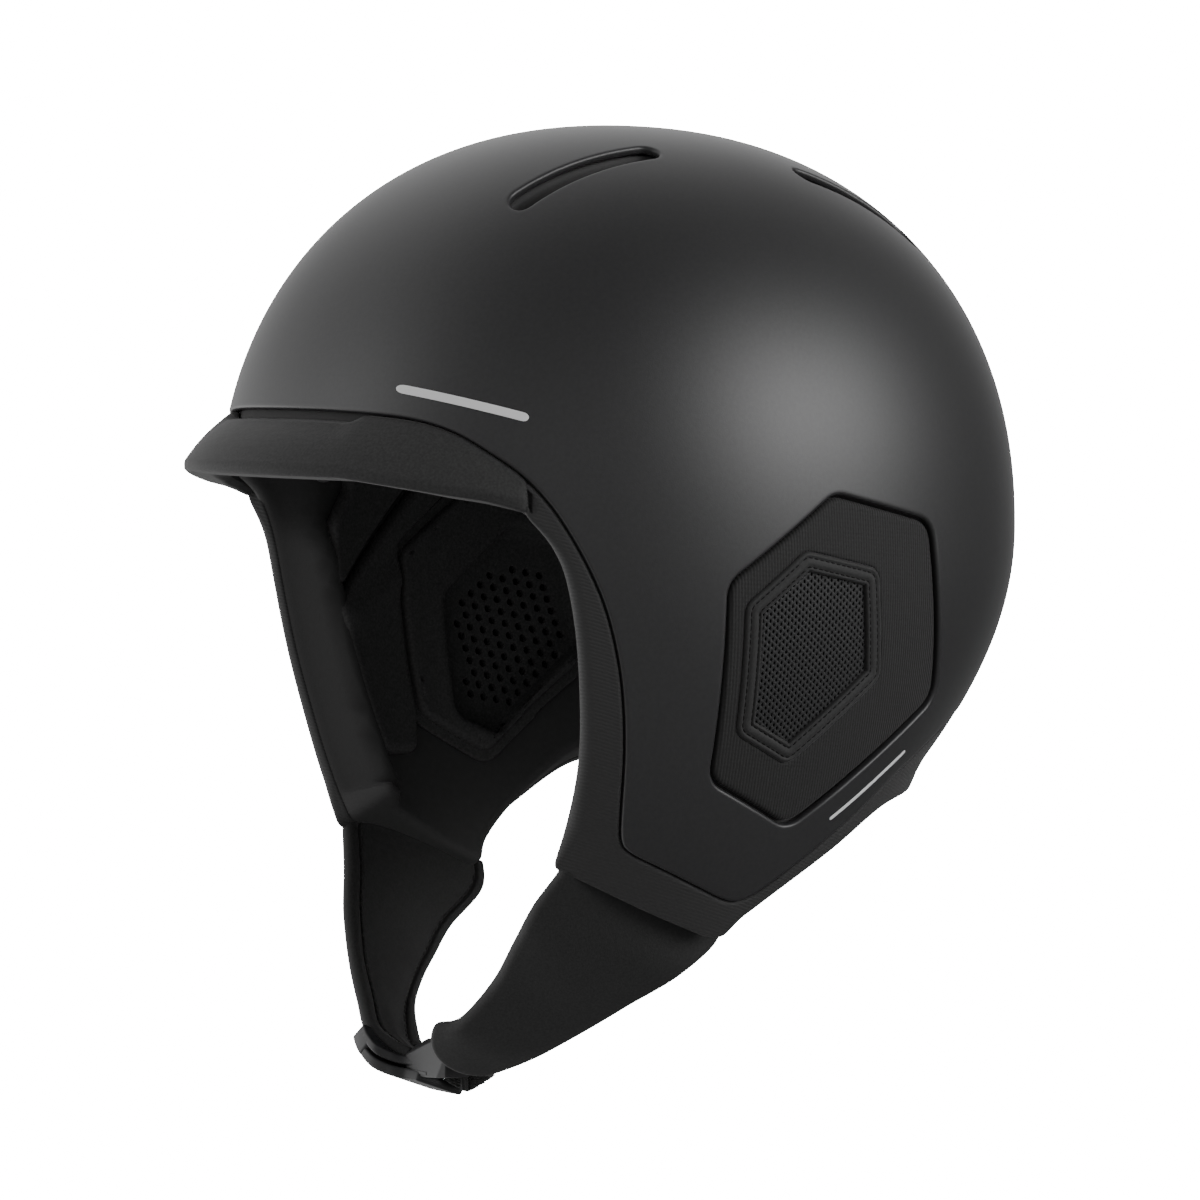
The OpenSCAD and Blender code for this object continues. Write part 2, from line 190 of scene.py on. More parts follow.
def round_corners(points, radius, steps=8):
    """Closed polygon with rounded corners; radius is one number or one per corner."""
    points = array(points)
    count = len(points)
    radii = [radius] * count if np.isscalar(radius) else radius
    curve = []
    for i in range(count):
        corner = points[i]
        to_last, to_next = points[i - 1] - corner, points[(i + 1) % count] - corner
        last_length, next_length = np.linalg.norm(to_last), np.linalg.norm(to_next)
        to_last, to_next = to_last / last_length, to_next / next_length
        half = math.acos(np.clip(to_last @ to_next, -1, 1)) / 2
        setback = min(radii[i] / math.tan(half), 0.48 * last_length, 0.48 * next_length)
        fitted = setback * math.tan(half)
        centre = corner + unit(to_last + to_next) * (fitted / math.sin(half))
        first = math.atan2(*(corner + to_last * setback - centre)[::-1])
        final = math.atan2(*(corner + to_next * setback - centre)[::-1])
        turn = (final - first + math.pi) % (2 * math.pi) - math.pi
        for k in range(steps + 1):
            angle = first + turn * k / steps
            curve.append(centre + fitted * array([math.cos(angle), math.sin(angle)]))
    return array(curve)


def rectangle(x0, x1, y0, y1, radius, steps):
    return round_corners([[x0, y0], [x1, y0], [x1, y1], [x0, y1]], radius, steps)


def resample(points, step, closed=True):
    """Evenly spaced points, about one step apart."""
    points = array(points)
    path = np.vstack([points, points[:1]]) if closed else points
    lengths = np.linalg.norm(np.diff(path, axis=0), axis=1)
    reached = np.concatenate([[0], np.cumsum(lengths)])
    count = max(8, int(round(reached[-1] / step)))
    wanted = np.linspace(0, reached[-1], count + 1)
    if closed:
        wanted = wanted[:-1]
    return np.stack([np.interp(wanted, reached, path[:, i]) for i in range(path.shape[1])], -1)


def smooth_loop(points, times, closed=True):
    points = array(points).copy()
    for _ in range(times):
        if closed:
            points = 0.25 * np.roll(points, 1, 0) + 0.5 * points + 0.25 * np.roll(points, -1, 0)
        else:
            points[1:-1] = 0.25 * points[:-2] + 0.5 * points[1:-1] + 0.25 * points[2:]
    return points


def shrink(polygon, distance):
    """Closed 2-D polygon moved inward by distance (outward when negative)."""
    polygon = array(polygon)
    x, y = polygon[:, 0], polygon[:, 1]
    area = 0.5 * np.sum(x * np.roll(y, -1) - np.roll(x, -1) * y)
    sign = 1 if area > 0 else -1
    moved = []
    for i, corner in enumerate(polygon):
        before = unit(corner - polygon[i - 1])
        after = unit(polygon[(i + 1) % len(polygon)] - corner)
        before_normal = sign * array([-before[1], before[0]])
        after_normal = sign * array([-after[1], after[0]])
        mitre = before_normal + after_normal
        moved.append(corner + mitre / max(mitre @ before_normal, 0.25) * distance)
    return array(moved)


def inside(points, polygon):
    """Which 2-D points lie inside the polygon."""
    x, y = points[:, 0][:, None], points[:, 1][:, None]
    after = np.roll(polygon, -1, 0)
    ax, ay, bx, by = polygon[:, 0], polygon[:, 1], after[:, 0], after[:, 1]
    result = np.zeros(len(points), bool)
    for k in range(0, len(points), 4000):  # in blocks, to save memory
        yy, xx = y[k:k + 4000], x[k:k + 4000]
        rise = np.where(by == ay, 1e-12, by - ay)
        crossed = ((ay > yy) != (by > yy)) & (xx < (bx - ax) * (yy - ay) / rise + ax)
        result[k:k + 4000] = crossed.sum(1) % 2 == 1
    return result


def nearest(points, others):
    """Distance from each 3-D point to the nearest of the others."""
    result = np.zeros(len(points))
    for k in range(0, len(points), 2000):
        squared = ((points[k:k + 2000, None, :] - others[None]) ** 2).sum(-1)
        result[k:k + 2000] = np.sqrt(squared.min(1))
    return result


# ---------------------------------------------------------------- flat charts of the form
def chart_dome(points):
    z = points[:, 2]
    polar = np.where(z > 0, np.arccos(np.clip(z / HEIGHT, -1, 1)), math.pi / 2 - z / SKIRT)
    angle = np.arctan2(points[:, 1], points[:, 0])
    return np.stack([polar * np.cos(angle), polar * np.sin(angle)], -1) * 100


def chart_side(points):
    return points[:, 1:3].copy()


def chart_around(facing):
    """Chart of the front (facing = -1) or the back (facing = 1)."""
    def chart(points):
        angle = np.arctan2(-facing * points[:, 0], facing * points[:, 1])
        return np.stack([angle * 100, points[:, 2]], -1)
    return chart


# ---------------------------------------------------------------- staggered points to fill patches
NO_FILL = np.zeros((0, 3))


def dome_grid(step, start=0.0):
    points = [[0, 0, HEIGHT]]
    polar, row = start + step / GRID_RADIUS, 0
    while polar < 2.6:
        above = polar < math.pi / 2
        radius = GRID_RADIUS * (math.sin(polar) if above else 1)
        count = max(6, int(round(2 * math.pi * radius / step)))
        angles = (np.arange(count) + 0.5 * (row % 2)) * 2 * math.pi / count
        z = HEIGHT * math.cos(polar) if above else -(polar - math.pi / 2) * SKIRT
        points.extend(ring_point(angles, z).tolist())
        polar += step / GRID_RADIUS * 0.9
        row += 1
    return onto(points)


def side_grid(step, side, y0, y1, z0, z1):
    points = []
    for row, z in enumerate(np.arange(z0, z1, step * 0.9)):
        for y in np.arange(y0 + 0.5 * step * (row % 2), y1, step):
            x = float(side_x(y, z))
            if x > 5:
                points.append([side * x, y, z])
    return onto(points)


def around_grid(step, facing, half_angle, z0, z1):
    points = []
    spacing = step / GRID_RADIUS
    for row, z in enumerate(np.arange(z0, z1, step * 0.9)):
        first = -half_angle + 0.5 * step / GRID_RADIUS * (row % 2)
        angles = facing * math.pi / 2 + np.arange(first, half_angle, spacing)
        points.extend(ring_point(angles, z).tolist())
    return onto(points)


# ---------------------------------------------------------------- materials
def add_node(tree, kind, inputs=None, **settings):
    """New shader node; each input is a socket to link from or a value."""
    made = tree.nodes.new("ShaderNode" + kind)
    for key, value in settings.items():
        setattr(made, key, value)
    for key, value in (inputs or {}).items():
        if isinstance(value, bpy.types.NodeSocket):
            tree.links.new(value, made.inputs[key])
        else:
            made.inputs[key].default_value = value
    return made


def calc(tree, operation, *values, **settings):
    node = add_node(tree, "Math", dict(enumerate(values)), operation=operation, **settings)
    return node.outputs[0]


def dot(tree, vector, fixed):
    node = add_node(tree, "VectorMath", {0: vector, 1: fixed}, operation="DOT_PRODUCT")
    return node.outputs["Value"]


def material(name, grey, rough, blue=None, metal=0.0, spec=0.5, sheen=0.0,
             grain=None, streaks=None, ribs=(), mottle=None):
    """Grey plastic or cloth. Grain and streaks are noise bumps: scale per metre, height in
    metres. Ribs are sine waves: period and height in millimetres. Mottle varies the colour."""
    made = bpy.data.materials.new(name)
    made.use_nodes = True
    tree = made.node_tree
    shader = tree.nodes["Principled BSDF"]
    colour = (grey, grey, blue or grey)
    for key, value in {"Base Color": (*colour, 1), "Roughness": rough, "Metallic": metal,
                       "Specular IOR Level": spec, "Sheen Weight": sheen,
                       "Sheen Roughness": 0.4}.items():
        shader.inputs[key].default_value = value
    if not (grain or ribs):
        return made
    place = add_node(tree, "TexCoord").outputs["Object"]

    def noise(scale, height, detail=2.0, stretch=None, rotation=None):
        vector = place
        if stretch:
            inputs = {"Vector": place, "Scale": stretch, "Rotation": rotation}
            vector = add_node(tree, "Mapping", inputs).outputs["Vector"]
        pattern = add_node(tree, "TexNoise", {"Vector": vector, "Scale": scale, "Detail": detail})
        return calc(tree, "MULTIPLY", pattern.outputs["Fac"], height)

    def ribbing(direction, period, height, wobble=None):
        wave = unit(array(direction)) * 2 * math.pi / (period * MM)
        phase = dot(tree, place, wave.tolist())
        if wobble:
            phase = calc(tree, "ADD", phase, noise(**wobble, detail=1.0))
        return calc(tree, "MULTIPLY", calc(tree, "SINE", phase), height * MM)

    def bumps():
        if grain:
            yield noise(**grain)
        if streaks:
            yield noise(**streaks)
        for rib in ribs:
            yield ribbing(**rib)

    height = None
    for bump in bumps():
        height = bump if height is None else calc(tree, "ADD", height, bump)
    bump = add_node(tree, "Bump", {"Strength": 1.0, "Distance": 1.0, "Height": height})
    tree.links.new(bump.outputs["Normal"], shader.inputs["Normal"])
    if mottle:
        pattern = add_node(tree, "TexNoise", {"Scale": mottle["scale"], "Detail": 3,
                                              "Vector": place})
        factor = add_node(tree, "MapRange", {
            "From Min": 0.3, "From Max": 0.7, "To Min": 1 - mottle["amount"],
            "To Max": 1 + mottle["amount"], "Value": pattern.outputs["Fac"]})
        tint = add_node(tree, "VectorMath", {0: colour, "Scale": factor.outputs[0]},
                        operation="SCALE")
        tree.links.new(tint.outputs[0], shader.inputs["Base Color"])
    return made


MATERIAL_SPECS = dict(
    shell_plastic=dict(grey=0.024, blue=0.025, rough=0.41, grain=dict(scale=2600, height=0.00002),
                       mottle=dict(scale=900, amount=0.08)),
    liner_foam=dict(grey=0.063, rough=0.9, spec=0.2, grain=dict(scale=1500, height=0.00004)),
    band_knit=dict(grey=0.0315, rough=0.75, spec=0.3, sheen=0.12,
                   grain=dict(scale=1400, height=0.00005),
                   ribs=[dict(direction=(0, 0.35, 1), period=0.95, height=0.035,
                              wobble=dict(scale=300, height=1.2))]),
    brim_knit=dict(grey=0.0288, rough=0.75, spec=0.3, sheen=0.12,
                   grain=dict(scale=1500, height=0.00005),
                   streaks=dict(scale=110, height=0.00012, stretch=(1, 1, 7),
                                rotation=(0.9, 0.35, 0)),
                   mottle=dict(scale=1300, amount=0.22)),
    pad_fabric=dict(grey=0.0748, rough=0.9, spec=0.2, sheen=0.03,
                    grain=dict(scale=1500, height=0.00004),
                    mottle=dict(scale=1200, amount=0.2)),
    ear_panel_knit=dict(grey=0.0208, rough=0.75, spec=0.3, sheen=0.10,
                        grain=dict(scale=1500, height=0.00004),
                        ribs=[dict(direction=(0, 1, 0.05), period=0.95, height=0.045,
                                   wobble=dict(scale=500, height=1.0)),
                              dict(direction=(0, 0.1, 1), period=1.3, height=0.02,
                                   wobble=dict(scale=500, height=2.0))]),
    bezel_neoprene=dict(grey=0.024, rough=0.7, spec=0.35, sheen=0.10,
                        grain=dict(scale=2200, height=0.00003),
                        mottle=dict(scale=1500, amount=0.15)),
    thread=dict(grey=0.008, rough=0.8, spec=0.2),
    strap_thread=dict(grey=0.03, rough=0.7, spec=0.3),
    mesh_plastic=dict(grey=0.0150, blue=0.0158, rough=0.6, spec=0.4),
    strap_neoprene=dict(grey=0.0189, rough=0.72, spec=0.35, sheen=0.08,
                        grain=dict(scale=1900, height=0.00004),
                        mottle=dict(scale=1300, amount=0.2)),
    strap_binding=dict(grey=0.026, rough=0.75, spec=0.3, sheen=0.12,
                       grain=dict(scale=1700, height=0.00004)),
    webbing_weave=dict(grey=0.018, rough=0.8, spec=0.3, sheen=0.1,
                       ribs=[dict(direction=(0.2, 1, 0.15), period=1.2, height=0.09),
                             dict(direction=(1, 0, 0), period=1.6, height=0.04)]),
    buckle_plastic=dict(grey=0.016, blue=0.017, rough=0.42,
                        grain=dict(scale=1200, height=0.00001)),
    latch_plastic=dict(grey=0.02, blue=0.021, rough=0.4),
    plated_metal=dict(grey=0.55, blue=0.57, rough=0.3, metal=1.0),
    hook_and_loop=dict(grey=0.012, rough=0.95, spec=0.1, grain=dict(scale=2500, height=0.0001)),
    print_white=dict(grey=0.78, rough=0.6, spec=0.3))
MATERIALS = {name: material(name, **spec) for name, spec in MATERIAL_SPECS.items()}

# CAD pieces by material; the rest are pad fabric
CAD_PIECES = dict(
    shell_plastic=["outer_shell"], liner_foam=["impact_liner"], brim_knit=["brim"],
    hook_and_loop=["brim_hook_strip", "brim_loop_strip"],
    plated_metal=["strap_anchors_left", "strap_anchors_right", "anchor_rivets", "socket_magnet",
                  "tongue_magnet"],
    webbing_weave=["webbing_left", "webbing_right", "folded_webbing", "webbing_keeper"],
    buckle_plastic=["buckle_socket", "buckle_tongue", "buckle_latch"],
    mesh_plastic=["ear_mesh_left", "ear_mesh_right"])
cad_material = {piece: name for name, pieces in CAD_PIECES.items() for piece in pieces}
for piece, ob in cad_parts.items():
    ob.data.materials.clear()
    ob.data.materials.append(MATERIALS[cad_material.get(piece, "pad_fabric")])


# ---------------------------------------------------------------- meshes
def new_object(name, mesh, material_name=None):
    ob = bpy.data.objects.new(name, mesh)
    bpy.context.scene.collection.objects.link(ob)
    if material_name:
        mesh.materials.append(MATERIALS[material_name])
    return ob


def register(ob, body, slot, replaces):
    if body:
        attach(ob, body)
    if replaces:
        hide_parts(replaces)


def add_mesh(name, verts, faces, material_name, body, slot, replaces=None, smooth=True,
             weld=False):
    mesh = bpy.data.meshes.new(name)
    mesh.from_pydata((array(verts) * MM).tolist(), [], [list(map(int, face)) for face in faces])
    mesh.update()
    bm = bmesh.new()
    bm.from_mesh(mesh)
    if weld:
        bmesh.ops.remove_doubles(bm, verts=bm.verts, dist=0.00002)
    bmesh.ops.recalc_face_normals(bm, faces=bm.faces)
    bm.to_mesh(mesh)
    bm.free()
    if smooth:
        mesh.shade_smooth()
    ob = new_object(name, mesh, material_name)
    register(ob, body, slot, replaces)
    return ob


def strip(ring, following):
    """Quads between two closed rings of vertex numbers."""
    quads = [ring, np.roll(ring, -1), np.roll(following, -1), following]
    return np.stack(quads, 1).tolist()


def sweep(sections):
    """Closed mesh through a row of closed sections, capped at both ends."""
    sections = array(sections)
    count, size = sections.shape[:2]
    ring = np.arange(size)
    faces = []
    for i in range(count - 1):
        faces += strip(ring + i * size, ring + (i + 1) * size)
    faces += [ring[::-1].tolist(), (ring + (count - 1) * size).tolist()]
    return sections.reshape(-1, 3), faces


def tube(path, radii, sides):
    """Capped round tube along a path, with one radius per path point."""
    path = array(path)
    count = len(path)
    tangents = np.gradient(path, axis=0)
    tangents /= np.maximum(np.linalg.norm(tangents, axis=1, keepdims=True), 1e-9)
    across = np.cross(tangents[0], [0, 0, 1.0] if abs(tangents[0][2]) < 0.9 else [1.0, 0, 0])
    verts, faces = [], []
    for point, tangent, radius in zip(path, tangents, radii):
        across = across - (across @ tangent) * tangent
        across /= max(np.linalg.norm(across), 1e-9)
        other = np.cross(tangent, across)
        for k in range(sides):
            angle = 2 * math.pi * k / sides
            verts.append(point + radius * (math.cos(angle) * across + math.sin(angle) * other))
    for i in range(count - 1):
        here, there = i * sides, (i + 1) * sides
        for k in range(sides):
            j = (k + 1) % sides
            faces.append([here + k, there + k, there + j, here + j])
    faces.append(list(range(sides))[::-1])
    faces.append([(count - 1) * sides + k for k in range(sides)])
    return array(verts), faces


def merge(parts):
    verts, faces, base = [], [], 0
    for part_verts, part_faces in parts:
        verts.append(part_verts)
        faces += [[i + base for i in face] for face in part_faces]
        base += len(part_verts)
    return np.vstack(verts), faces


def place(section, origin, across, up=array([0, 0, 1])):
    """A flat section set in space."""
    return [origin + across * point[0] + up * point[1] for point in section]


def stitches(path, normals, length, gap, closed, height):
    """A row of short rounded stitches along a path, raised by height along the normals."""
    spacing, radius = 0.25, 0.2
    both = resample(np.hstack([path, normals]), spacing, closed)
    normals = both[:, 3:]
    path = both[:, :3] + normals * height
    pitch = max(1, int(round((length + gap) / spacing)))
    span = int(round(length / spacing))
    parts = []
    for start in range(0, len(path) - span, pitch):
        chosen = np.arange(start, start + span + 1, max(1, span // 4))
        arch = np.sin(np.linspace(0, math.pi, len(chosen)))
        raised = normals[chosen] * (arch * radius * 0.9 - radius * 0.6)[:, None]
        radii = radius * np.clip(arch * 1.6 + 0.35, 0.35, 1)
        parts.append(tube(path[chosen] + raised, radii, 6))
    return merge(parts)


# ---------------------------------------------------------------- closed sheets on the form
def triangulate(loops, lines, points):
    """Triangles inside the first loop and outside the others, through lines and points."""
    edges, base = [], 0
    for loop in loops + lines:
        count = len(loop)
        edges += [(base + i, base + (i + 1) % count) for i in range(count)]
        base += count
    given = np.vstack(loops + lines + [points])
    found, _, faces, origins = delaunay_2d_cdt(
        [Vector(point) for point in given.tolist()], edges, [], 0, 1e-6, True)[:4]
    source = np.array([origin[0] if len(origin) else -1 for origin in origins])
    # a vertex made where edges cross takes the number of the nearest given one
    for i in np.where(source < 0)[0]:
        source[i] = int(((given - array(list(found[i]))) ** 2).sum(1).argmin())
    tris = source[np.array([list(face) for face in faces])]
    tris = tris[(tris[:, 0] != tris[:, 1]) & (tris[:, 1] != tris[:, 2])
                & (tris[:, 0] != tris[:, 2])]
    centres = given[tris].mean(1)
    keep = inside(centres, loops[0])
    for loop in loops[1:]:
        keep &= ~inside(centres, loop)
    return tris[keep]


def into_material(loop, chart, hole=False):
    """Unit tangents of the form across a loop, pointing into the sheet."""
    along = unit_rows(np.roll(loop, -1, 0) - np.roll(loop, 1, 0))
    across = unit_rows(np.cross(normal(loop), along))
    enclosed = inside(chart(onto(loop + 0.8 * across)), chart(loop)).mean() > 0.5
    return -across if enclosed == hole else across


def as_field(offset):
    """An offset given as a number or as a function of points, as a function."""
    return offset if callable(offset) else lambda points: np.full(len(points), float(offset))


def patch(name, outer, holes, chart, fill, visible, back, material_name, body, slot,
          replaces=None, *, edge_r, back_r, gap, hole_r=None, hole_back_r=None, steps=4, walls=1,
          support=0.7, lines=()):
    """Closed sheet between the offsets visible and back, rounded at every edge.

    edge_r, back_r: edge radii of the two faces; hole_r, hole_back_r: the same at holes.
    gap: least distance from fill points to loops and lines. steps: facets per rounding.
    walls: rings between the roundings. support: width of the strip beside them.
    lines: (loop, visible offset) pairs the mesh must follow."""
    visible, back = as_field(visible), as_field(back)
    hole_r = edge_r if hole_r is None else hole_r
    hole_back_r = back_r if hole_back_r is None else hole_back_r
    turns = [math.pi / 2 * k / steps for k in range(steps + 1)]
    borders = []
    for number, loop in enumerate([outer, *holes]):
        hole = number > 0
        top = array(hole_r if hole else edge_r) + np.zeros(len(loop))
        low = array(hole_back_r if hole else back_r) + np.zeros(len(loop))
        across = into_material(loop, chart, hole)
        # inset, share of the back face, drop below the visible face, rise above the back
        rings = [(top + support, 0, 0, 0)]
        rings += [(top * (1 - math.sin(turn)), 0, top * (1 - math.cos(turn)), 0)
                  for turn in turns]
        rings += [(0 * top, (k + 1) / (walls + 1), top, low) for k in range(walls)]
        rings += [(low * (1 - math.sin(turn)), 1, 0, low * (1 - math.cos(turn)))
                  for turn in turns[::-1]]
        rings.append((low + support, 1, 0, 0))
        bases, levels = [], []
        for inset, share, drop, rise in rings:
            base = onto(loop + inset[:, None] * across)
            offset = (visible(base) - drop) * (1 - share) + (back(base) + rise) * share
            bases.append(base)
            levels.append(lift(base, offset))
        borders.append((bases[0], levels))

    inner = [base for base, _ in borders]
    guides = [array(line) for line, _ in lines]
    keep = inside(chart(fill), chart(inner[0]))
    for loop in inner[1:]:
        keep &= ~inside(chart(fill), chart(loop))
    fill = fill[keep]
    fill = fill[nearest(fill, np.vstack(inner + guides)) > gap]
    tris = triangulate([chart(loop) for loop in inner], [chart(line) for line in guides],
                       chart(fill))
    verts = [levels[0] for _, levels in borders]
    verts += [lift(line, as_field(offset)(line)) for line, offset in lines]
    verts.append(lift(fill, visible(fill)))
    count = sum(map(len, verts))
    verts += [levels[-1] for _, levels in borders]
    verts += [lift(line, back(line)) for line in guides + [fill]]
    faces = tris.tolist() + (tris[:, ::-1] + count).tolist()
    start, total = 0, 2 * count
    for base, levels in borders:
        ring = np.arange(start, start + len(base))
        last = ring + count
        for level in levels[1:-1]:
            verts.append(level)
            following = np.arange(total, total + len(base))
            faces += strip(ring, following)
            ring = following
            total += len(base)
        faces += strip(ring, last)
        start += len(base)
    return add_mesh(name, np.vstack(verts), faces, material_name, body, slot, replaces)


# ---------------------------------------------------------------- edges of shell and liner
# side view, front to back
SHELL_PROFILE = smooth_loop(resample(np.vstack([
    [[-150, 37.5]],
    catmull([[-115, 37.5], [-103, 35.5], [-95, 32], [-88, 26], [-80, 18], [-72.5, 6.5], [-63, -14],
             [-57, -34], [-53, -54], [-50, -73], [-48, -83]], 6),
    [[-46.5, -86.5]],
    catmull([[-43, -89], [-28, -96.5], [-15, -103]], 4),
    [[-10, -104.6]],
    catmull([[-4, -102.5], [8, -94], [24, -83], [46, -69], [69, -58], [95, -51], [120, -50]], 6),
    [[150, -50]]]), 1.0, False), 3, False)
LINER_PROFILE = smooth_loop(resample(np.vstack([
    [[-150, 19]],
    catmull([[-110, 19], [-99, 16.5], [-89, 13], [-81, 8], [-74, -3], [-70, -18], [-66, -42],
             [-63, -62], [-61, -85]], 6),
    [[-60.3, -93.5]],
    catmull([[-55, -96], [-35, -106.5], [-16, -115]], 4),
    [[-10, -116]],
    catmull([[-6, -110], [6, -101], [22, -91], [41, -80.5], [60, -78], [84, -77.5]], 6),
    [[97, -79], [150, -79]]]), 1.0, False), 2, False)


def edge_loop(profile):
    """Closed 3-D loop of a side-view edge, from the front centre round the left side."""
    profile = resample(profile, 1.0, False)
    x = side_x(profile[:, 0], profile[:, 1])
    wide = np.where(x > 58)[0]
    middle = np.column_stack([x, profile])[wide[0]:wide[-1] + 1]

    def near_centre(angles, z):
        for _ in range(15):
            z = np.interp(ring_point(angles, z)[:, 1], profile[:, 0], profile[:, 1])
        return ring_point(angles, z)

    first, last = middle[0], middle[-1]
    front = np.linspace(-math.pi / 2, math.atan2(first[1], first[0]), 50)[:-1]
    rear = np.linspace(math.atan2(last[1], last[0]), math.pi / 2, 50)[1:]
    half = np.vstack([near_centre(front, first[2]), middle, near_centre(rear, last[2])])
    return resample(np.vstack([half, half[::-1][1:-1] * array([-1, 1, 1])]), 1.6)


SHELL_EDGE, LINER_EDGE = edge_loop(SHELL_PROFILE), edge_loop(LINER_PROFILE)

# opening over each ear and the outline of the bezel in it, side view
EAR_WINDOW = round_corners([[6, 14], [45, 5], [55, -48], [1, -83], [-28, -67.5], [-29, -10.6]], 8)
BEZEL = round_corners([[-4, -2], [23, -8], [27, -40], [-3.5, -64], [-22, -54], [-23, -17]], 5)


def side_loop(polygon, side, step=1.3):
    return on_side(resample(polygon, step), side)


# long slots in the top of the shell: x, front y, rear y
VENTS = [(-47, -64, -14), (47, -64, -14), (-52, 32, 76), (52, 32, 76), (0, 8, 60)]


def vent_loop(x, y0, y1, width):
    radius = width / 2
    angles = np.linspace(0, math.pi, 13)
    cos, sin = radius * np.cos(angles), radius * np.sin(angles)
    places = resample(np.vstack([np.stack([x + cos, y1 - radius + sin], -1),
                                 np.stack([x - cos, y0 + radius - sin], -1)]), 1.2)
    plan = (np.abs(places[:, 0] / HALF_WIDTH) ** PLAN_POWER
            + np.abs(places[:, 1] / half_length(places[:, 1])) ** PLAN_POWER)
    left_over = np.maximum(1 - plan ** (RISE_POWER / PLAN_POWER), 0)
    return np.column_stack([places, HEIGHT * left_over ** (1 / RISE_POWER)])


def vent_loops(width):
    return [vent_loop(*vent, width) for vent in VENTS]


# ---------------------------------------------------------------- outer shell
patch("shell_skin", SHELL_EDGE, [side_loop(EAR_WINDOW, side) for side in (1, -1)]
      + vent_loops(7.4), chart_dome, dome_grid(3.0), 0.0, -2.4, "shell_plastic", "helmet",
      "shell", "outer_shell", edge_r=0.95, back_r=0.6, gap=1.8)

# ---------------------------------------------------------------- liner
LINER_FILL = dome_grid(4.0)
# the liner's edge along the face opening
FACE_EDGE = LINER_EDGE[(LINER_EDGE[:, 1] < -57.5) & (LINER_EDGE[:, 2] > -86)]


def liner_back(points):
    """Inner offset: a thin lip along the face opening with a padded roll behind it."""
    away = nearest(points, FACE_EDGE)
    width = 5.5 + 11 * np.clip((points[:, 2] + 6) / 20, 0, 1)
    body = smooth_step((away - 0.6) / width)
    low = np.clip((4 - points[:, 2]) / 14, 0, 1)
    roll = smooth_step(away / 7) * (1 - smooth_step((away - 9.5) / 6)) * low
    return -7.5 - 9.9 * body - 4.3 * roll


liner_edge = smooth_loop(onto(LINER_EDGE + 0.3 * into_material(LINER_EDGE, chart_dome)), 1)
patch("liner_skin", liner_edge, [side_loop(shrink(EAR_WINDOW, 0.75), side) for side in (1, -1)]
      + vent_loops(6.6), chart_dome, LINER_FILL, -3.2, liner_back, "liner_foam", "helmet",
      "foam", "impact_liner", edge_r=1.5, back_r=2.6, gap=2.0, walls=2)

# ---------------------------------------------------------------- band between the two edges
BAND_FRONT_Y = -81.4
BRIM_END = math.radians(-44.55)  # angle of the brim's left end


def behind(loop, y_min):
    """The part of a closed loop behind y_min, from its left end round the back."""
    y = loop[:, 1]
    start = int(np.argmin(np.where((loop[:, 0] > 0), np.abs(y - y_min), 1e9)))
    turned = np.roll(loop, -start, axis=0)
    if turned[5, 1] < turned[0, 1]:
        turned = np.roll(loop[::-1], -(len(loop) - 1 - start), axis=0)
    end = int(np.argmin(np.where(turned[:, 0] < 0, np.abs(turned[:, 1] - y_min), 1e9)))
    return turned[:end + 1]


def band_outline():
    upper = behind(onto(SHELL_EDGE - 0.55 * into_material(SHELL_EDGE, chart_dome)), BAND_FRONT_Y)
    lower = behind(LINER_EDGE, BAND_FRONT_Y)
    loop = resample(np.vstack([upper, lower[::-1]]), 1.1)
    # softer corners at the front ends
    front = np.clip((-72 - loop[:, 1:2]) / 5, 0, 1)
    return onto(smooth_loop(loop, 7) * front + smooth_loop(loop, 1) * (1 - front))


def band_joints():
    """A narrow groove across the band just behind each end of the brim."""
    x, y, _ = ring_point(BRIM_END, 12.0)
    radius = math.hypot(x, y)

    def height(profile, y_max):
        part = profile[profile[:, 0] < y_max]
        return np.interp(y, part[:, 0], part[:, 1])

    top, bottom = height(SHELL_PROFILE, -60) - 2.0, height(LINER_PROFILE, -65) + 1.6
    joints = []
    for side in (1, -1):
        # near and far side from the brim's end, end inset, offset
        for near, far, inset, offset in ((-0.1, 1.7, 0.0, -0.25), (0.45, 1.15, 0.5, -2.1)):
            heights = np.linspace(bottom + inset, top - inset, 16)
            loop = np.vstack([ring_point(BRIM_END + near / radius, heights),
                              ring_point(BRIM_END + far / radius, heights[::-1])])
            loop[:, 0] *= side
            joints.append((onto(loop), offset))
    return joints


def band_radii(loop):
    """Edge radius per point: wider along the face opening, eased over 13 points."""
    wide = (np.clip(2.0 - nearest(loop, FACE_EDGE), 0, 1)
            * np.clip((loop[:, 1] + 79) / 5, 0, 1) * np.clip((-54 - loop[:, 1]) / 4, 0, 1))
    wrapped = np.concatenate([wide[-6:], wide, wide[:6]])
    return np.convolve(wrapped, np.ones(13) / 13, "valid") * 2.9 + 0.9


band_loop = band_outline()
patch("liner_band", band_loop, [], chart_dome, dome_grid(2.4, 1.1), -0.25, -5.2, "band_knit",
      "helmet", "foam", edge_r=band_radii(band_loop), back_r=0.8, gap=1.3, walls=3,
      lines=band_joints(), support=0.3)

# ---------------------------------------------------------------- brim
# lower edge, side view
BRIM_BOTTOM = array([[-150, 19], [-117, 19], [-108, 18.5], [-102, 16.5], [-94, 14], [-88, 12.5],
                     [-80, 9.5]])
BRIM_TOP = SHELL_PROFILE[(SHELL_PROFILE[:, 1] > 0) & (SHELL_PROFILE[:, 0] < -60)]


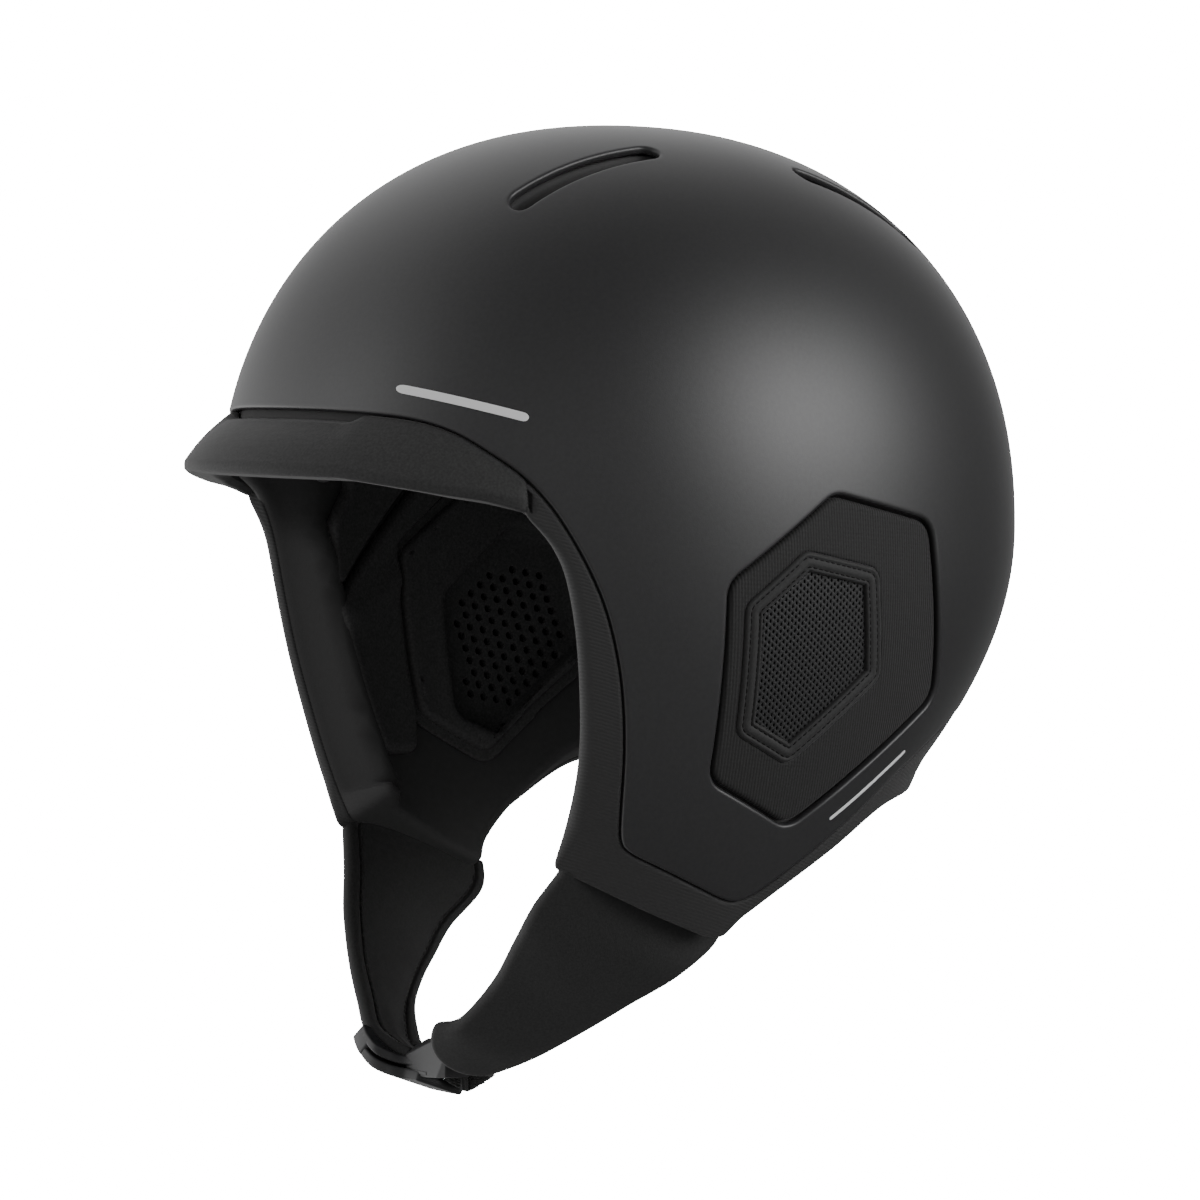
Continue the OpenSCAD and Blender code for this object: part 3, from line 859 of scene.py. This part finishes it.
def brim_section(angle, inset):
    """Closed section of the brim at an angle round z, drawn in by inset."""
    y = float(ring_point(angle, 34.0)[1])
    for _ in range(12):
        y = float(ring_point(angle, np.interp(y, BRIM_TOP[:, 0], BRIM_TOP[:, 1]))[1])
    top = float(np.interp(y, BRIM_TOP[:, 0], BRIM_TOP[:, 1])) - 0.75
    bottom = float(np.interp(y, BRIM_BOTTOM[:, 0], BRIM_BOTTOM[:, 1]))
    # one long shallow scoop in the top edge, across the centre
    scoop = float(smooth_step((41 - abs(float(ring_point(angle, top)[0]))) / 7))
    share = np.clip((math.degrees(angle) + 136) / 92, 0.001, 0.999)
    reach = 0.15 + 13.85 * math.sin(math.pi * share) ** 0.8
    # columns: offset, z
    corners = [[-0.35 - 1.9 * scoop, top - 2.2 * scoop],
               [0.05 + 0.12 * reach, top - 1.6 - 0.9 * scoop],
               [reach * 0.97, bottom + 3.2], [reach - 0.7, bottom + 0.2],
               [max(reach - 9, -0.7), bottom - 1], [-2.6, bottom + 1], [-2.6, top - 2.2 * scoop]]
    steps = 5
    section = round_corners(corners, [0.5, 3.0, 3.0, 1.0, 1.5, 0.3, 0.3], steps)
    # a slight bulge along the long outer face, between the second and third corners
    split = 2 * (steps + 1)
    start, end = section[split - 1], section[split]
    share = np.linspace(0, 1, 9)[1:-1, None]
    across = array([-(end - start)[1], (end - start)[0]])
    across /= np.linalg.norm(across) + 1e-9
    if across[0] < 0:
        across = -across
    face = start + (end - start) * share + across * (np.sin(share * math.pi) * 0.05 * reach)
    section = np.vstack([section[:split], face, section[split:]])
    if inset:
        centre = section.mean(0)
        spokes = section - centre
        lengths = np.maximum(np.linalg.norm(spokes, axis=1, keepdims=True), 0.8)
        section = centre + spokes * np.maximum(1 - inset / lengths, 0.1)
    return np.stack([ring_point(angle, z, offset) for offset, z in section])


# closely spaced sections round off both ends: angle from the end, inset
BRIM_ENDS = ((0, 1.5), (0.002, 0.7), (0.006, 0.2), (0.013, 0))
brim_sections = [brim_section(-math.pi - BRIM_END + turn, inset) for turn, inset in BRIM_ENDS]
brim_sections += [brim_section(angle, 0) for angle in
                  np.linspace(-math.pi - BRIM_END + 0.022, BRIM_END - 0.022, 130)]
brim_sections += [brim_section(BRIM_END - turn, inset) for turn, inset in BRIM_ENDS[::-1]]
add_mesh("brim_cover", *sweep(brim_sections), "brim_knit", "brim", "brim", "brim")

# ---------------------------------------------------------------- ear pads
BEZEL_WIDTH = 5.6
STITCH_INSETS = (("outer", 1.75), ("inner", 4.35))
# raised, sunk-centre cushion outline and the perforated area in it, side view
CUSHION = round_corners([[-10, -68], [-9, -27], [20, -3], [44, -9], [47, -46], [8, -76]], 5)
PERFORATED = array([[15, -17], [38, -19], [42, -50], [20, -66], [2, -62], [-1, -33]])


def ear_fill(step, side):
    return side_grid(step, side, -34, 60, -88, 18)


def ear_cover(side, tag, body):
    patch("ear_cover_" + tag, side_loop(shrink(EAR_WINDOW, 0.7), side),
          [side_loop(shrink(BEZEL, 0.3), side, 1.0)], chart_side, ear_fill(1.7, side),
          -0.9, -11, "ear_panel_knit", body, "ear_fabric", "ear_panel_" + tag,
          edge_r=1.7, back_r=1.2, hole_r=1.1, gap=1.0, walls=3)


def bezel(side, tag, body):
    """Frame round the ear mesh with two sunk seams."""
    outer = side_loop(BEZEL, side, 0.9)
    hole = side_loop(shrink(BEZEL, BEZEL_WIDTH), side, 0.8)

    def surface(points):
        out, inn = nearest(points, outer), nearest(points, hole)
        grooves = (0.6 * np.exp(-((out - 1.75) / 0.32) ** 2)
                   + 0.6 * np.exp(-((inn - 1.25) / 0.32) ** 2))
        return -0.25 + 0.15 * smooth_step(out / 1.5) * smooth_step(inn / 1.5) - grooves

    lines = [(side_loop(shrink(BEZEL, inset), side, 0.9), surface)
             for inset in (1.3, 1.75, 2.2, 3.1, 3.95, 4.35, 4.7)]
    patch("bezel_" + tag, outer, [hole], chart_side, NO_FILL, surface, -2.5, "bezel_neoprene",
          body, "bezel", "ear_bezel_" + tag, edge_r=0.9, back_r=0.5, gap=0.3, lines=lines,
          support=0.2)
    for place_name, inset in STITCH_INSETS:
        loop = side_loop(shrink(BEZEL, inset), side, 0.5)
        row = stitches(lift(loop, surface(loop)), normal(loop), length=1.5, gap=0.55,
                       closed=True, height=0.12)
        add_mesh("bezel_stitch_%s_%s" % (place_name, tag), *row, "thread", body, "bezel")


def ear_mesh(side, tag, body):
    """Lattice of hexagonal cells inside the bezel, each with a tapering hole."""
    column, row = 1.2, 2.0
    reach = column / 1.5
    opening = shrink(BEZEL, 4.9)
    corners = array([(-reach, 0), (-reach / 2, -row / 2), (reach / 2, -row / 2), (reach, 0),
                     (reach / 2, row / 2), (-reach / 2, row / 2)])
    angles = np.arctan2(corners[:, 1], corners[:, 0])
    verts, faces = [], []  # vertex columns: y, z, offset
    for i in range(-40, 40):
        for j in range(-45, 10):
            y, z = i * column, j * row + (i % 2) * row / 2
            if not (-26 < y < 30 and -68 < z < 2) or not inside(array([[y, z]]), opening)[0]:
                continue
            ring = np.arange(len(verts), len(verts) + 6)
            verts += [(y + dy, z + dz, -1.62) for dy, dz in corners]
            for scale, offset in ((1.0, -1.55), (0.88, -1.75), (0.88, -2.3)):
                verts += [(y + 0.40 * scale * math.cos(angle),
                           z + 0.62 * scale * math.sin(angle), offset) for angle in angles]
                faces += strip(ring, ring + 6)
                ring = ring + 6
    verts = array(verts)
    add_mesh("mesh_lattice_" + tag, lift(on_side(verts[:, :2], side), verts[:, 2]), faces,
             "mesh_plastic", body, "mesh", "ear_mesh_" + tag, weld=True)


def perforations(side):
    circle = np.arange(12) * 2 * math.pi / 12
    holes = []
    for i in range(-14, 15):
        for j in range(-22, 22):
            y, z = 16 + i * 5.1 + j * 1.2, -40 - i * 1.2 - j * 4.2
            if inside(array([[y, z]]), PERFORATED)[0]:
                places = np.stack([y + 1.3 * np.cos(circle), z + 1.3 * np.sin(circle)], -1)
                holes.append(on_side(places, side))
    return holes


def ear_cushion(side, tag, body):
    """Backing sheet, flange and perforated cushion on the inside."""
    patch("ear_cushion_backing_" + tag, side_loop(shrink(BEZEL, 2.0), side, 1.6), [],
          chart_side, ear_fill(1.7, side), -10.7, -11.15, "hook_and_loop", body, "pad",
          edge_r=0.15, back_r=0.1, steps=1, gap=1.4)
    patch("ear_cushion_flange_" + tag, side_loop(shrink(EAR_WINDOW, -2.6), side, 1.6),
          [side_loop(shrink(EAR_WINDOW, 2.6), side, 1.6)], chart_side, NO_FILL, -18.3, -19.4,
          "pad_fabric", body, "pad", edge_r=0.3, back_r=0.5, steps=3, gap=1.6, support=0.3)
    outline = side_loop(CUSHION, side)

    def inner_face(points):
        away = nearest(points, outline)
        away = np.where(inside(points[:, 1:3], CUSHION), away, -away)
        return (-22.0 + 8.0 * smooth_step((away + 1.2) / 3.4)
                - 0.6 * np.exp(-((away + 3.0) / 2.2) ** 2))

    lines = [(side_loop(shrink(CUSHION, inset), side), -11.3)
             for inset in (-3.2, -1.2, 0.3, 1.4, 2.4)]
    patch("ear_cushion_skin_" + tag, side_loop(shrink(EAR_WINDOW, 0.95), side, 1.5),
          perforations(side), chart_side, ear_fill(2.2, side), -11.2, inner_face, "pad_fabric",
          body, "pad", "ear_cushion_" + tag, edge_r=0.8, back_r=1.8, hole_r=0.2,
          hole_back_r=0.3, steps=3, gap=0.9, lines=lines, walls=2, support=0.3)


for side, tag in SIDES:
    for build in (ear_cover, bezel, ear_mesh, ear_cushion):
        build(side, tag, "ear_pad_" + tag)

# ---------------------------------------------------------------- fitting pads inside
PAD_OUTER, PAD_INNER = -17.6, -22.6  # offsets of the two faces
PAD_TOP = 42.5  # upper edge of the forehead and nape pads
# outlines, side view
TEMPLE_UPPER = [[-55, 43], [-55, 12], [-64, 0], [-63.8, -25], [-22, 15.5], [6, 43]]
TEMPLE_LOWER = [[-63.3, -29.5], [-20, 12.5], [11.5, 43], [70, 43], [70, 21], [50, 10.5], [6, 19],
                [-29.8, -8], [-29.8, -68], [-34, -80], [-54, -80], [-58.5, -50], [-61, -38]]


def ridge(points):
    """Inner offset of the lower temple pad, with a soft ridge between two places."""
    start, end = array([-20.0, -15.0]), array([-56.0, -33.0])
    places, line = points[:, 1:3], end - start
    share = np.clip(((places - start) @ line) / (line @ line), 0, 1)
    away = np.linalg.norm(places - start - share[:, None] * line, axis=1)
    return -22.2 - 1.8 * np.exp(-(away / 4.5) ** 2)


def temple_pad(name, outline, side, back, back_r, replaces=None):
    patch(name, side_loop(round_corners(outline, 3), side, 1.6), [], chart_side,
          side_grid(2.4, side, -64, 74, -84, 46), PAD_OUTER, back, "pad_fabric", "helmet", "pad",
          replaces, edge_r=0.8, back_r=back_r, gap=1.6)


for side, tag in SIDES:
    temple_pad("temple_pad_upper_" + tag, TEMPLE_UPPER, side, -22.0, 2.0)
    temple_pad("temple_pad_lower_" + tag, TEMPLE_LOWER, side, ridge, 2.2, "temple_pad_" + tag)


def wrap_angles(facing, half_angle):
    return np.linspace(facing * math.pi / 2 - half_angle, facing * math.pi / 2 + half_angle, 90)


def wrap_pad(name, facing, angles, bottom, fill):
    """Pad round the front (facing = -1) or the back (facing = 1)."""
    lower, upper = onto(ring_point(angles, bottom)), onto(ring_point(angles, PAD_TOP))
    loop = onto(smooth_loop(resample(np.vstack([lower, upper[::-1]]), 1.8), 5))
    patch(name + "_skin", loop, [], chart_around(facing), fill, PAD_OUTER, PAD_INNER,
          "pad_fabric", "helmet", "pad", name, edge_r=0.8, back_r=2.8, gap=1.8)


angles = wrap_angles(-1, 0.62 * math.pi / 2 * 0.96)
bottom = np.interp(ring_point(angles, 18)[:, 1], [-120, -85, -58], [30, 24, 8])
wrap_pad("forehead_pad", -1, angles, bottom, around_grid(3, -1, 1.1, 8, 44))
wrap_pad("nape_pad", 1, wrap_angles(1, 0.84), -72, around_grid(3.2, 1, 1.0, -76, 44))

crown_loop = ring_point(np.linspace(0, 2 * math.pi, 400)[:-1], 45.5)
patch("crown_pad_skin", onto(resample(crown_loop, 2.0)), vent_loops(9), chart_dome,
      LINER_FILL[LINER_FILL[:, 2] > 40], PAD_OUTER, PAD_INNER, "pad_fabric", "helmet", "pad",
      "crown_pad", edge_r=0.8, back_r=2.6, gap=2.0)

# ---------------------------------------------------------------- chin straps
# [x, y, z] down each strap's front and rear edges, by side: a tuck under the liner, the seam,
# then on to the chin. Along a strap, u is 0 at the second point and grows 0.2 per point;
# across it, v is 0 at the front edge and 1 at the rear.
STRAP_FRONT = {
    1: array([[64.5, -56, -84], [63, -57.5, -93], [54, -61.5, -105], [43.5, -61.8, -117],
              [33, -62.5, -129.6], [22.5, -67.2, -141.4], [14, -70.3, -143.8],
              [6.5, -73, -145.2]]),
    -1: array([[-64.5, -56, -84], [-63, -57.5, -93], [-57.5, -60, -106], [-50, -64.3, -118],
               [-40, -68, -131], [-30, -71, -141.5], [-21, -73.5, -149.5], [-14, -70.5, -153.8],
               [-7.5, -66.5, -156.2]])}
STRAP_REAR = {
    1: array([[67.5, -5, -108], [66, -6, -117.5], [63, -16, -126.5], [52.5, -26, -135.5],
              [40, -34, -144.5], [28, -43, -153], [17.5, -51.5, -159], [8, -58.5, -163]]),
    -1: array([[-67.5, -5, -108], [-66, -6, -117.5], [-64.5, -18.5, -128], [-60, -27.5, -136.5],
               [-50.5, -37.5, -142.5], [-37.5, -47.5, -148], [-23, -54.5, -154],
               [-14.5, -57.5, -157], [-7.5, -59.5, -159]])}
STRAP_START = -0.16  # u
STRAP_END = {1: 1.0, -1: 1.39}  # u
NORMAL_END = {1: 1.16, -1: 1.36}  # u beyond which the normal no longer turns
CROWN = {1: 1.0, -1: 0.6}  # how far the strap bulges outward
HALF_THICKNESS = 2.3
EDGE_ZONE = 6.4  # width of the bound edge
EDGE_STOPS = array([0, 0.25, 0.7, 1.3, 2.0, 2.7, 3.3, 3.8, 4.15, 4.45, 4.75, 5.1, 5.6, EDGE_ZONE])


def edge_at(points, u):
    position = 1 + 5 * u
    i = int(np.clip(math.floor(position), 0, len(points) - 2))
    return catmull_at(points, i, position - i)


def strap_point(side, u, v, offset):
    """Point of the strap; offset is positive towards the throat."""
    front, rear = STRAP_FRONT[side], STRAP_REAR[side]

    def middle(place_u):
        start, end = edge_at(front, place_u), edge_at(rear, place_u)
        return start + (end - start) * v

    held = float(np.clip(u, -0.15, NORMAL_END[side]))
    along = middle(held + 0.02) - middle(held - 0.02)
    across = edge_at(rear, held) - edge_at(front, held)
    inward = unit(np.cross(across, along) * side)
    bulge = -(1.0 + 0.8 * min(max(u, 0), 1)) * CROWN[side]
    return middle(u) + inward * (offset + 4 * v * (1 - v) * bulge)


def strap_width(side, u):
    return np.linalg.norm(edge_at(STRAP_REAR[side], u) - edge_at(STRAP_FRONT[side], u))


def quarter_round(share):
    return math.sqrt(max(1 - (1 - min(share, 1)) ** 2, 0))


def strap_section(side, share, length):
    """Closed section at a share of the strap's length."""
    end = STRAP_END[side]
    width = float(np.clip(strap_width(side, STRAP_START + (end - STRAP_START) * share), 6, 99))
    zone = min(EDGE_ZONE, width * 0.4)
    stops = EDGE_STOPS * zone / EDGE_ZONE
    half = np.linspace(zone, width / 2, 8)
    cap = quarter_round((1 - share) * length / 2.4)
    outer, inner = [], []
    for reach in np.concatenate([stops, half[1:], (width - half[1:-1])[::-1],
                                 (width - stops)[::-1]]):
        v = reach / width
        # the left strap's end is drawn out to a rounded tip
        tip = end + (0.145 * (4 * v * (1 - v)) ** 0.75 if side > 0 else 0.0)
        u = STRAP_START + (tip - STRAP_START) * share
        edge = min(reach, width - reach) * EDGE_ZONE / zone
        thick = HALF_THICKNESS * quarter_round(edge / HALF_THICKNESS) * cap
        ripple = ((0.30 * math.sin(8.5 * u + 4 * v + side) + 0.16 * math.sin(19 * u - 7 * v))
                  * math.sin(math.pi * np.clip(u * 0.85 + 0.1, 0, 1)) * min(edge / 6, 1))
        groove = 0.95 * math.exp(-((edge - 4.6) / 0.5) ** 2)
        binding = (0.30 * (1 if edge < 3.9 else max(0, 1 - (edge - 3.9) / 0.6))
                   * min(edge / 1.0, 1))
        swell = 0.5 * smooth_step((edge - 5) / 6)
        raised = (binding + swell) * cap - groove * cap
        outer.append(strap_point(side, u, v, -thick + ripple))
        inner.append(strap_point(side, u, v, thick + raised + ripple))
    return outer + inner[::-1][1:-1]


def strap(side, tag):
    end, body = STRAP_END[side], "strap_" + tag
    hinge = [tuple(strap_point(side, u, 0.5, 0) * MM) for u in (0.0, 0.24)]

    def add_bending(name, mesh, material_name, replaces=None):
        ob = add_mesh(name, *mesh, material_name, None, "neoprene", replaces)
        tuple(hinge[0])
        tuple(hinge[1])
        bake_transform(ob)

    middles = [strap_point(side, end * k / 20, 0.5, 0) for k in range(21)]
    length = sum(np.linalg.norm(after - before) for before, after in zip(middles, middles[1:]))
    length *= (end - STRAP_START) / end
    shares = [*np.linspace(0, 0.965, 76), 0.972, 0.979, 0.986, 0.991, 0.9955, 0.9985, 1.0]
    add_bending("strap_cover_" + tag, sweep([strap_section(side, q, length) for q in shares]),
                "strap_neoprene", "chin_strap_" + tag)
    # stitching beside the bound edges, on the inner face
    for rear, edge_name in enumerate(("front", "rear")):
        path, normals = [], []
        for u in np.linspace(-0.05, end * 0.985, 90):
            width = strap_width(side, u)
            v = 5.35 / EDGE_ZONE * min(EDGE_ZONE, width * 0.4) / width
            v = 1 - v if rear else v
            low, high = strap_point(side, u, v, 2.35), strap_point(side, u, v, 3.35)
            path.append(low)
            normals.append(high - low)
        row = stitches(array(path), array(normals), length=1.9, gap=0.8, closed=False,
                       height=0.05)
        add_bending("strap_stitch_%s_%s" % (edge_name, tag), row, "strap_thread")
    # webbing inside
    sections = []
    for u in np.linspace(0.3, end * 0.97, 30):
        width = strap_width(side, u)
        across = 0.5 + np.linspace(-1, 1, 9) * min(9, width * 0.34) / width
        sections.append([strap_point(side, u, v, 0.55) for v in across]
                        + [strap_point(side, u, v, -0.55) for v in across[::-1]])
    add_mesh("strap_webbing_" + tag, *sweep(sections), "webbing_weave", body, "webbing",
             "webbing_" + tag)


for side, tag in SIDES:
    strap(side, tag)


# ---------------------------------------------------------------- buckle
def hull(name, points, material_name, body, slot, replaces, bevel):
    """Bevelled convex block round the given points."""
    bm = bmesh.new()
    for point in array(points) * MM:
        bm.verts.new(point)
    bmesh.ops.convex_hull(bm, input=bm.verts)
    bmesh.ops.dissolve_limit(bm, angle_limit=0.06, verts=bm.verts, edges=bm.edges)
    loose = [vert for vert in bm.verts if not vert.link_faces]
    bmesh.ops.delete(bm, geom=loose, context="VERTS")
    bmesh.ops.recalc_face_normals(bm, faces=bm.faces)
    mesh = bpy.data.meshes.new(name)
    bm.to_mesh(mesh)
    bm.free()
    ob = new_object(name, mesh, material_name)
    modifier = ob.modifiers.new("edge", "BEVEL")
    modifier.width = bevel * MM
    modifier.segments = 3
    modifier.limit_method = "ANGLE"
    modifier.angle_limit = 0.25
    modifier.harden_normals = True
    mesh.shade_smooth()
    register(ob, body, slot, replaces)


def disc(name, centre, axis, radius, thickness, body, replaces):
    centre, axis = array(centre), unit(array(axis))
    half, chamfer = thickness / 2, 0.25
    path = [centre + axis * along for along in (-half, chamfer - half, half - chamfer, half)]
    radii = [radius - chamfer, radius, radius, radius - chamfer]
    add_mesh(name, *tube(path, radii, 40), "plated_metal", body, "metal", replaces, smooth=False)


# corners of the socket block, [x, y, z]
SOCKET = [[-8.1, -67.6, -156.2], [4.5, -65.4, -150.3], [-3.5, -66.8, -162.2],
          [-7.8, -67.5, -161.0], [6, -65.2, -161.3], [-8.7, -63.5, -153.6],
          [-3.4, -62.5, -150.9], [6, -61.5, -149.8], [10.5, -64.4, -152.5],
          [9.2, -63.9, -160.8], [-8.9, -54, -158.0], [-3, -53, -155.8], [10.5, -53, -156.2],
          [-7, -57, -163.0], [-3, -57, -163.6], [9.5, -56, -161.6]]
LATCH = [[x, y, z] for x, y in ((-4.4, -67.15), (1.6, -66.1), (-4.4, -60), (1.6, -59))
         for z in (-161.1, -160.1)]
hull("clip_socket", SOCKET, "buckle_plastic", "strap_left", "buckle", "buckle_socket", bevel=0.35)
hull("clip_latch", LATCH, "latch_plastic", "latch", "latch", "buckle_latch", bevel=0.15)
disc("socket_magnet_disc", centre=(4.0, -59.5, -158.2), axis=(0, 0.28, 1), radius=3.6,
     thickness=2.2, body="strap_left", replaces="socket_magnet")

# the tongue: curved plates along a path under the end of the right strap
TONGUE_PATH = catmull([[-22.6, -75.8, -149.6], [-19.2, -76.2, -152.9], [-14.6, -75.2, -156.3],
                       [-10.5, -72, -158.4], [-6.5, -68.3, -159.4], [-1, -66.2, -159.6]], 8)
TONGUE_ACROSS = unit(array([0.12, 0.86, -0.34]))


def tongue_plate(first, last, low, high, width, inset=0.0):
    """Plate between two numbered places on the path; low and high are heights over it."""
    numbers = np.linspace(first, last, int((last - first) * 2.5))
    path = np.stack([np.interp(numbers, np.arange(len(TONGUE_PATH)), TONGUE_PATH[:, k])
                     for k in range(3)], -1)
    tangents = unit_rows(np.gradient(path, axis=0))
    steps = np.linalg.norm(np.diff(path, axis=0), axis=1)
    reached = np.concatenate([[0], np.cumsum(steps)])
    rounding = 0.9
    sections = []
    for point, tangent, reach in zip(path, tangents, reached):
        up = unit(np.cross(TONGUE_ACROSS, tangent))
        if up[2] < 0:
            up = -up
        end = min(reach, reached[-1] - reach, rounding)
        trim = rounding - math.sqrt(max(0.81 - (rounding - end) ** 2, 0))
        bottom, top = low + trim, high - trim
        section = rectangle(inset + trim, width - inset - trim, bottom, top,
                            min(0.75, (top - bottom) * 0.45), 4)
        sections.append(place(section, point, TONGUE_ACROSS, up))
    return sweep(sections)


tongue = merge([tongue_plate(0.5, 39, low=0.55, high=3.3, width=17),
                tongue_plate(0.5, 11.4, low=-3.6, high=3.0, width=17),
                tongue_plate(10.2, 39, low=-3.6, high=-0.35, width=16, inset=0.15)])
add_mesh("clip_tongue", *tongue, "buckle_plastic", "strap_right", "buckle", "buckle_tongue")
disc("tongue_magnet_disc", centre=(-12.5, -66.0, -158.2), axis=(0.5, 0.28, 1), radius=2.6,
     thickness=1.6, body="strap_right", replaces="tongue_magnet")

# ---------------------------------------------------------------- folded webbing and keeper
# webbing folded under the left strap's end, with a block round it
FOLD_ALONG = unit(array([18.0, 13.0, -2.2]))
FOLD_ACROSS = unit(array([-15.0, 14.0, -2.0]))
FOLD_ORIGIN = array([-1.0, -61.8, -158.2])
# start and end of each layer along the fold, top layer first
FOLD_LAYERS = [(8.5, 17.4), (7.5, 17.8), (4.5, 17.2), (0.0, 16.2), (0.6, 14.6), (3.2, 12.4)]


def fold_layer(number, start, end):
    steps = 22
    side_shift = 0.15 * (number % 2)
    sections = []
    for i in range(steps + 1):
        reach = start + (end - start) * (i / steps)
        share = reach / 22.0
        sag = (1.5 * math.sin(math.pi * np.clip(share, 0, 1))
               + 0.10 * math.sin(7 * share + 2 * number))
        spread = 0.55 + 0.45 * math.sin(math.pi * np.clip(share * 1.2, 0, 1))
        centre = FOLD_ORIGIN + FOLD_ALONG * reach + array([0, 0, -sag - 0.9 * number * spread])
        half = 0.42 * (0.35, 0.8, 1)[min(i, steps - i, 2)]
        section = rectangle(side_shift, 9.5, -half, half, 0.35, 3)
        sections.append(place(section, centre, FOLD_ACROSS))
    return sweep(sections)


fold = merge([fold_layer(number, *ends) for number, ends in enumerate(FOLD_LAYERS)])
add_mesh("webbing_fold", *fold, "webbing_weave", "strap_left", "webbing", "folded_webbing")
KEEPER_STATIONS = (8.8, 9.1, 9.7, 10.3, 10.9, 11.2)
keeper = []
for reach in KEEPER_STATIONS:
    trim = 0.25 if reach in (KEEPER_STATIONS[0], KEEPER_STATIONS[-1]) else 0.0
    section = rectangle(-0.6 + trim, 10.2 - trim, -6.9 + trim, -0.6, 0.9, 4)
    keeper.append(place(section, FOLD_ORIGIN + FOLD_ALONG * reach, FOLD_ACROSS))
add_mesh("keeper_loop", *sweep(keeper), "webbing_weave", "keeper", "webbing", "webbing_keeper")


# ---------------------------------------------------------------- plain printed bars
def bar_mark(name, start, end, half):
    """Thin printed bar between two side-view places on the left side."""
    start, end = array(start), array(end)
    length = np.linalg.norm(end - start)
    along = (end - start) / length
    across = half * array([-along[1], along[0]])
    corners = np.stack([start - across, end - across, end + across, start + across])
    loop = resample(round_corners(corners, half * 0.95, 5), 0.6)
    fill = array([start + along * reach
                  for reach in np.linspace(half, length - half, int(length / 1.2))])
    patch(name, onto(on_side(loop, 1)), [], chart_side, onto(on_side(fill, 1)), 0.05, -0.3,
          "print_white", "helmet", "shell", edge_r=0.04, back_r=0.02, steps=1, gap=0.3,
          support=0.1)


bar_mark("mark_front", (-102.5, 43.6), (-78.5, 35.3), half=1.25)
bar_mark("mark_side", (16.5, -81.0), (45.5, -62.9), half=0.55)

# ---------------------------------------------------------------- camera (metres)
CAMERA_PLACE = Vector((1.0030, -0.6547, 0.0516))
CAMERA_TARGET = Vector((-0.00153, -0.00235, -0.02168))
camera_data = bpy.data.cameras.new("camera")
camera = new_object("camera", camera_data)
camera.location = CAMERA_PLACE
camera.rotation_euler = (CAMERA_PLACE - CAMERA_TARGET).to_track_quat("Z", "Y").to_euler()
camera_data.lens = 118.1
camera_data.sensor_width = 36
camera_data.clip_start = 0.05
bpy.context.scene.camera = camera

# ---------------------------------------------------------------- light
# soft lobes in the sky: azimuth and elevation in degrees (0 is the front, 90 the wearer's
# left), strength, sharpness
LOBES = [
    (-128, 15, 1.05, 12), (-106, 15, 0.2, 12), (-18, 15, 2.25, 12), (48, 15, 0.6, 12),
    (92, 15, 0.1, 12), (158, 15, 0.14, 12), (-150, 50, 0.3, 9), (-100, 50, 0.87, 9),
    (-50, 50, 0.51, 9), (0, 50, 0.15, 9), (127, 16, 7.9, 35), (135, 24, 3.35, 35),
    (112, 22, 4.2, 35), (-60, -25, 3.1, 6), (57, -35, 0.36, 6), (120, -30, 0.22, 6),
    (-150, -30, 0.14, 6)]
WHITE = (1, 1, 1, 1)
BACKDROP = 20.0  # brightness of backdrop and floor as the camera sees them


def direction(azimuth, elevation):
    turn, rise = math.radians(azimuth), math.radians(elevation)
    return Vector((math.sin(turn) * math.cos(rise), -math.cos(turn) * math.cos(rise),
                   math.sin(rise)))


def build_world():
    """Lobes light the helmet; the camera sees a plain white backdrop."""
    world = bpy.data.worlds.new("studio")
    bpy.context.scene.world = world
    world.use_nodes = True
    tree = world.node_tree
    tree.nodes.clear()
    view = add_node(tree, "TexCoord").outputs["Generated"]
    total = 0.0
    for azimuth, elevation, strength, sharpness in LOBES:
        facing = dot(tree, view, direction(azimuth, elevation))
        power = calc(tree, "MULTIPLY_ADD", facing, sharpness, -sharpness)
        total = calc(tree, "MULTIPLY_ADD", calc(tree, "EXPONENT", power), strength, total)
    light = add_node(tree, "Background", {"Color": total})
    backdrop = add_node(tree, "Background", {"Color": WHITE, "Strength": BACKDROP})
    seen = add_node(tree, "LightPath").outputs["Is Camera Ray"]
    mix = add_node(tree, "MixShader", {0: seen, 1: light.outputs[0], 2: backdrop.outputs[0]})
    add_node(tree, "OutputWorld", {"Surface": mix.outputs[0]})


build_world()


# ---------------------------------------------------------------- floor
def build_floor():
    """White plane as bright as the backdrop, seen only by the camera and only from above."""
    half, z = 4, cad_low[2] - 0.055
    mesh = bpy.data.meshes.new("floor")
    mesh.from_pydata([(-half, -half, z), (half, -half, z), (half, half, z), (-half, half, z)],
                     [], [(0, 1, 2, 3)])
    floor = new_object("floor", mesh)
    white = bpy.data.materials.new("floor_white")
    white.use_nodes = True
    tree = white.node_tree
    tree.nodes.clear()
    glow = add_node(tree, "Emission", {"Color": WHITE, "Strength": BACKDROP})
    clear = add_node(tree, "BsdfTransparent")
    below = add_node(tree, "NewGeometry").outputs["Backfacing"]
    seen = add_node(tree, "LightPath").outputs["Is Camera Ray"]
    shown = calc(tree, "SUBTRACT", seen, below, use_clamp=True)
    mix = add_node(tree, "MixShader", {0: shown, 1: clear.outputs[0], 2: glow.outputs[0]})
    add_node(tree, "OutputMaterial", {"Surface": mix.outputs[0]})
    mesh.materials.append(white)


build_floor()
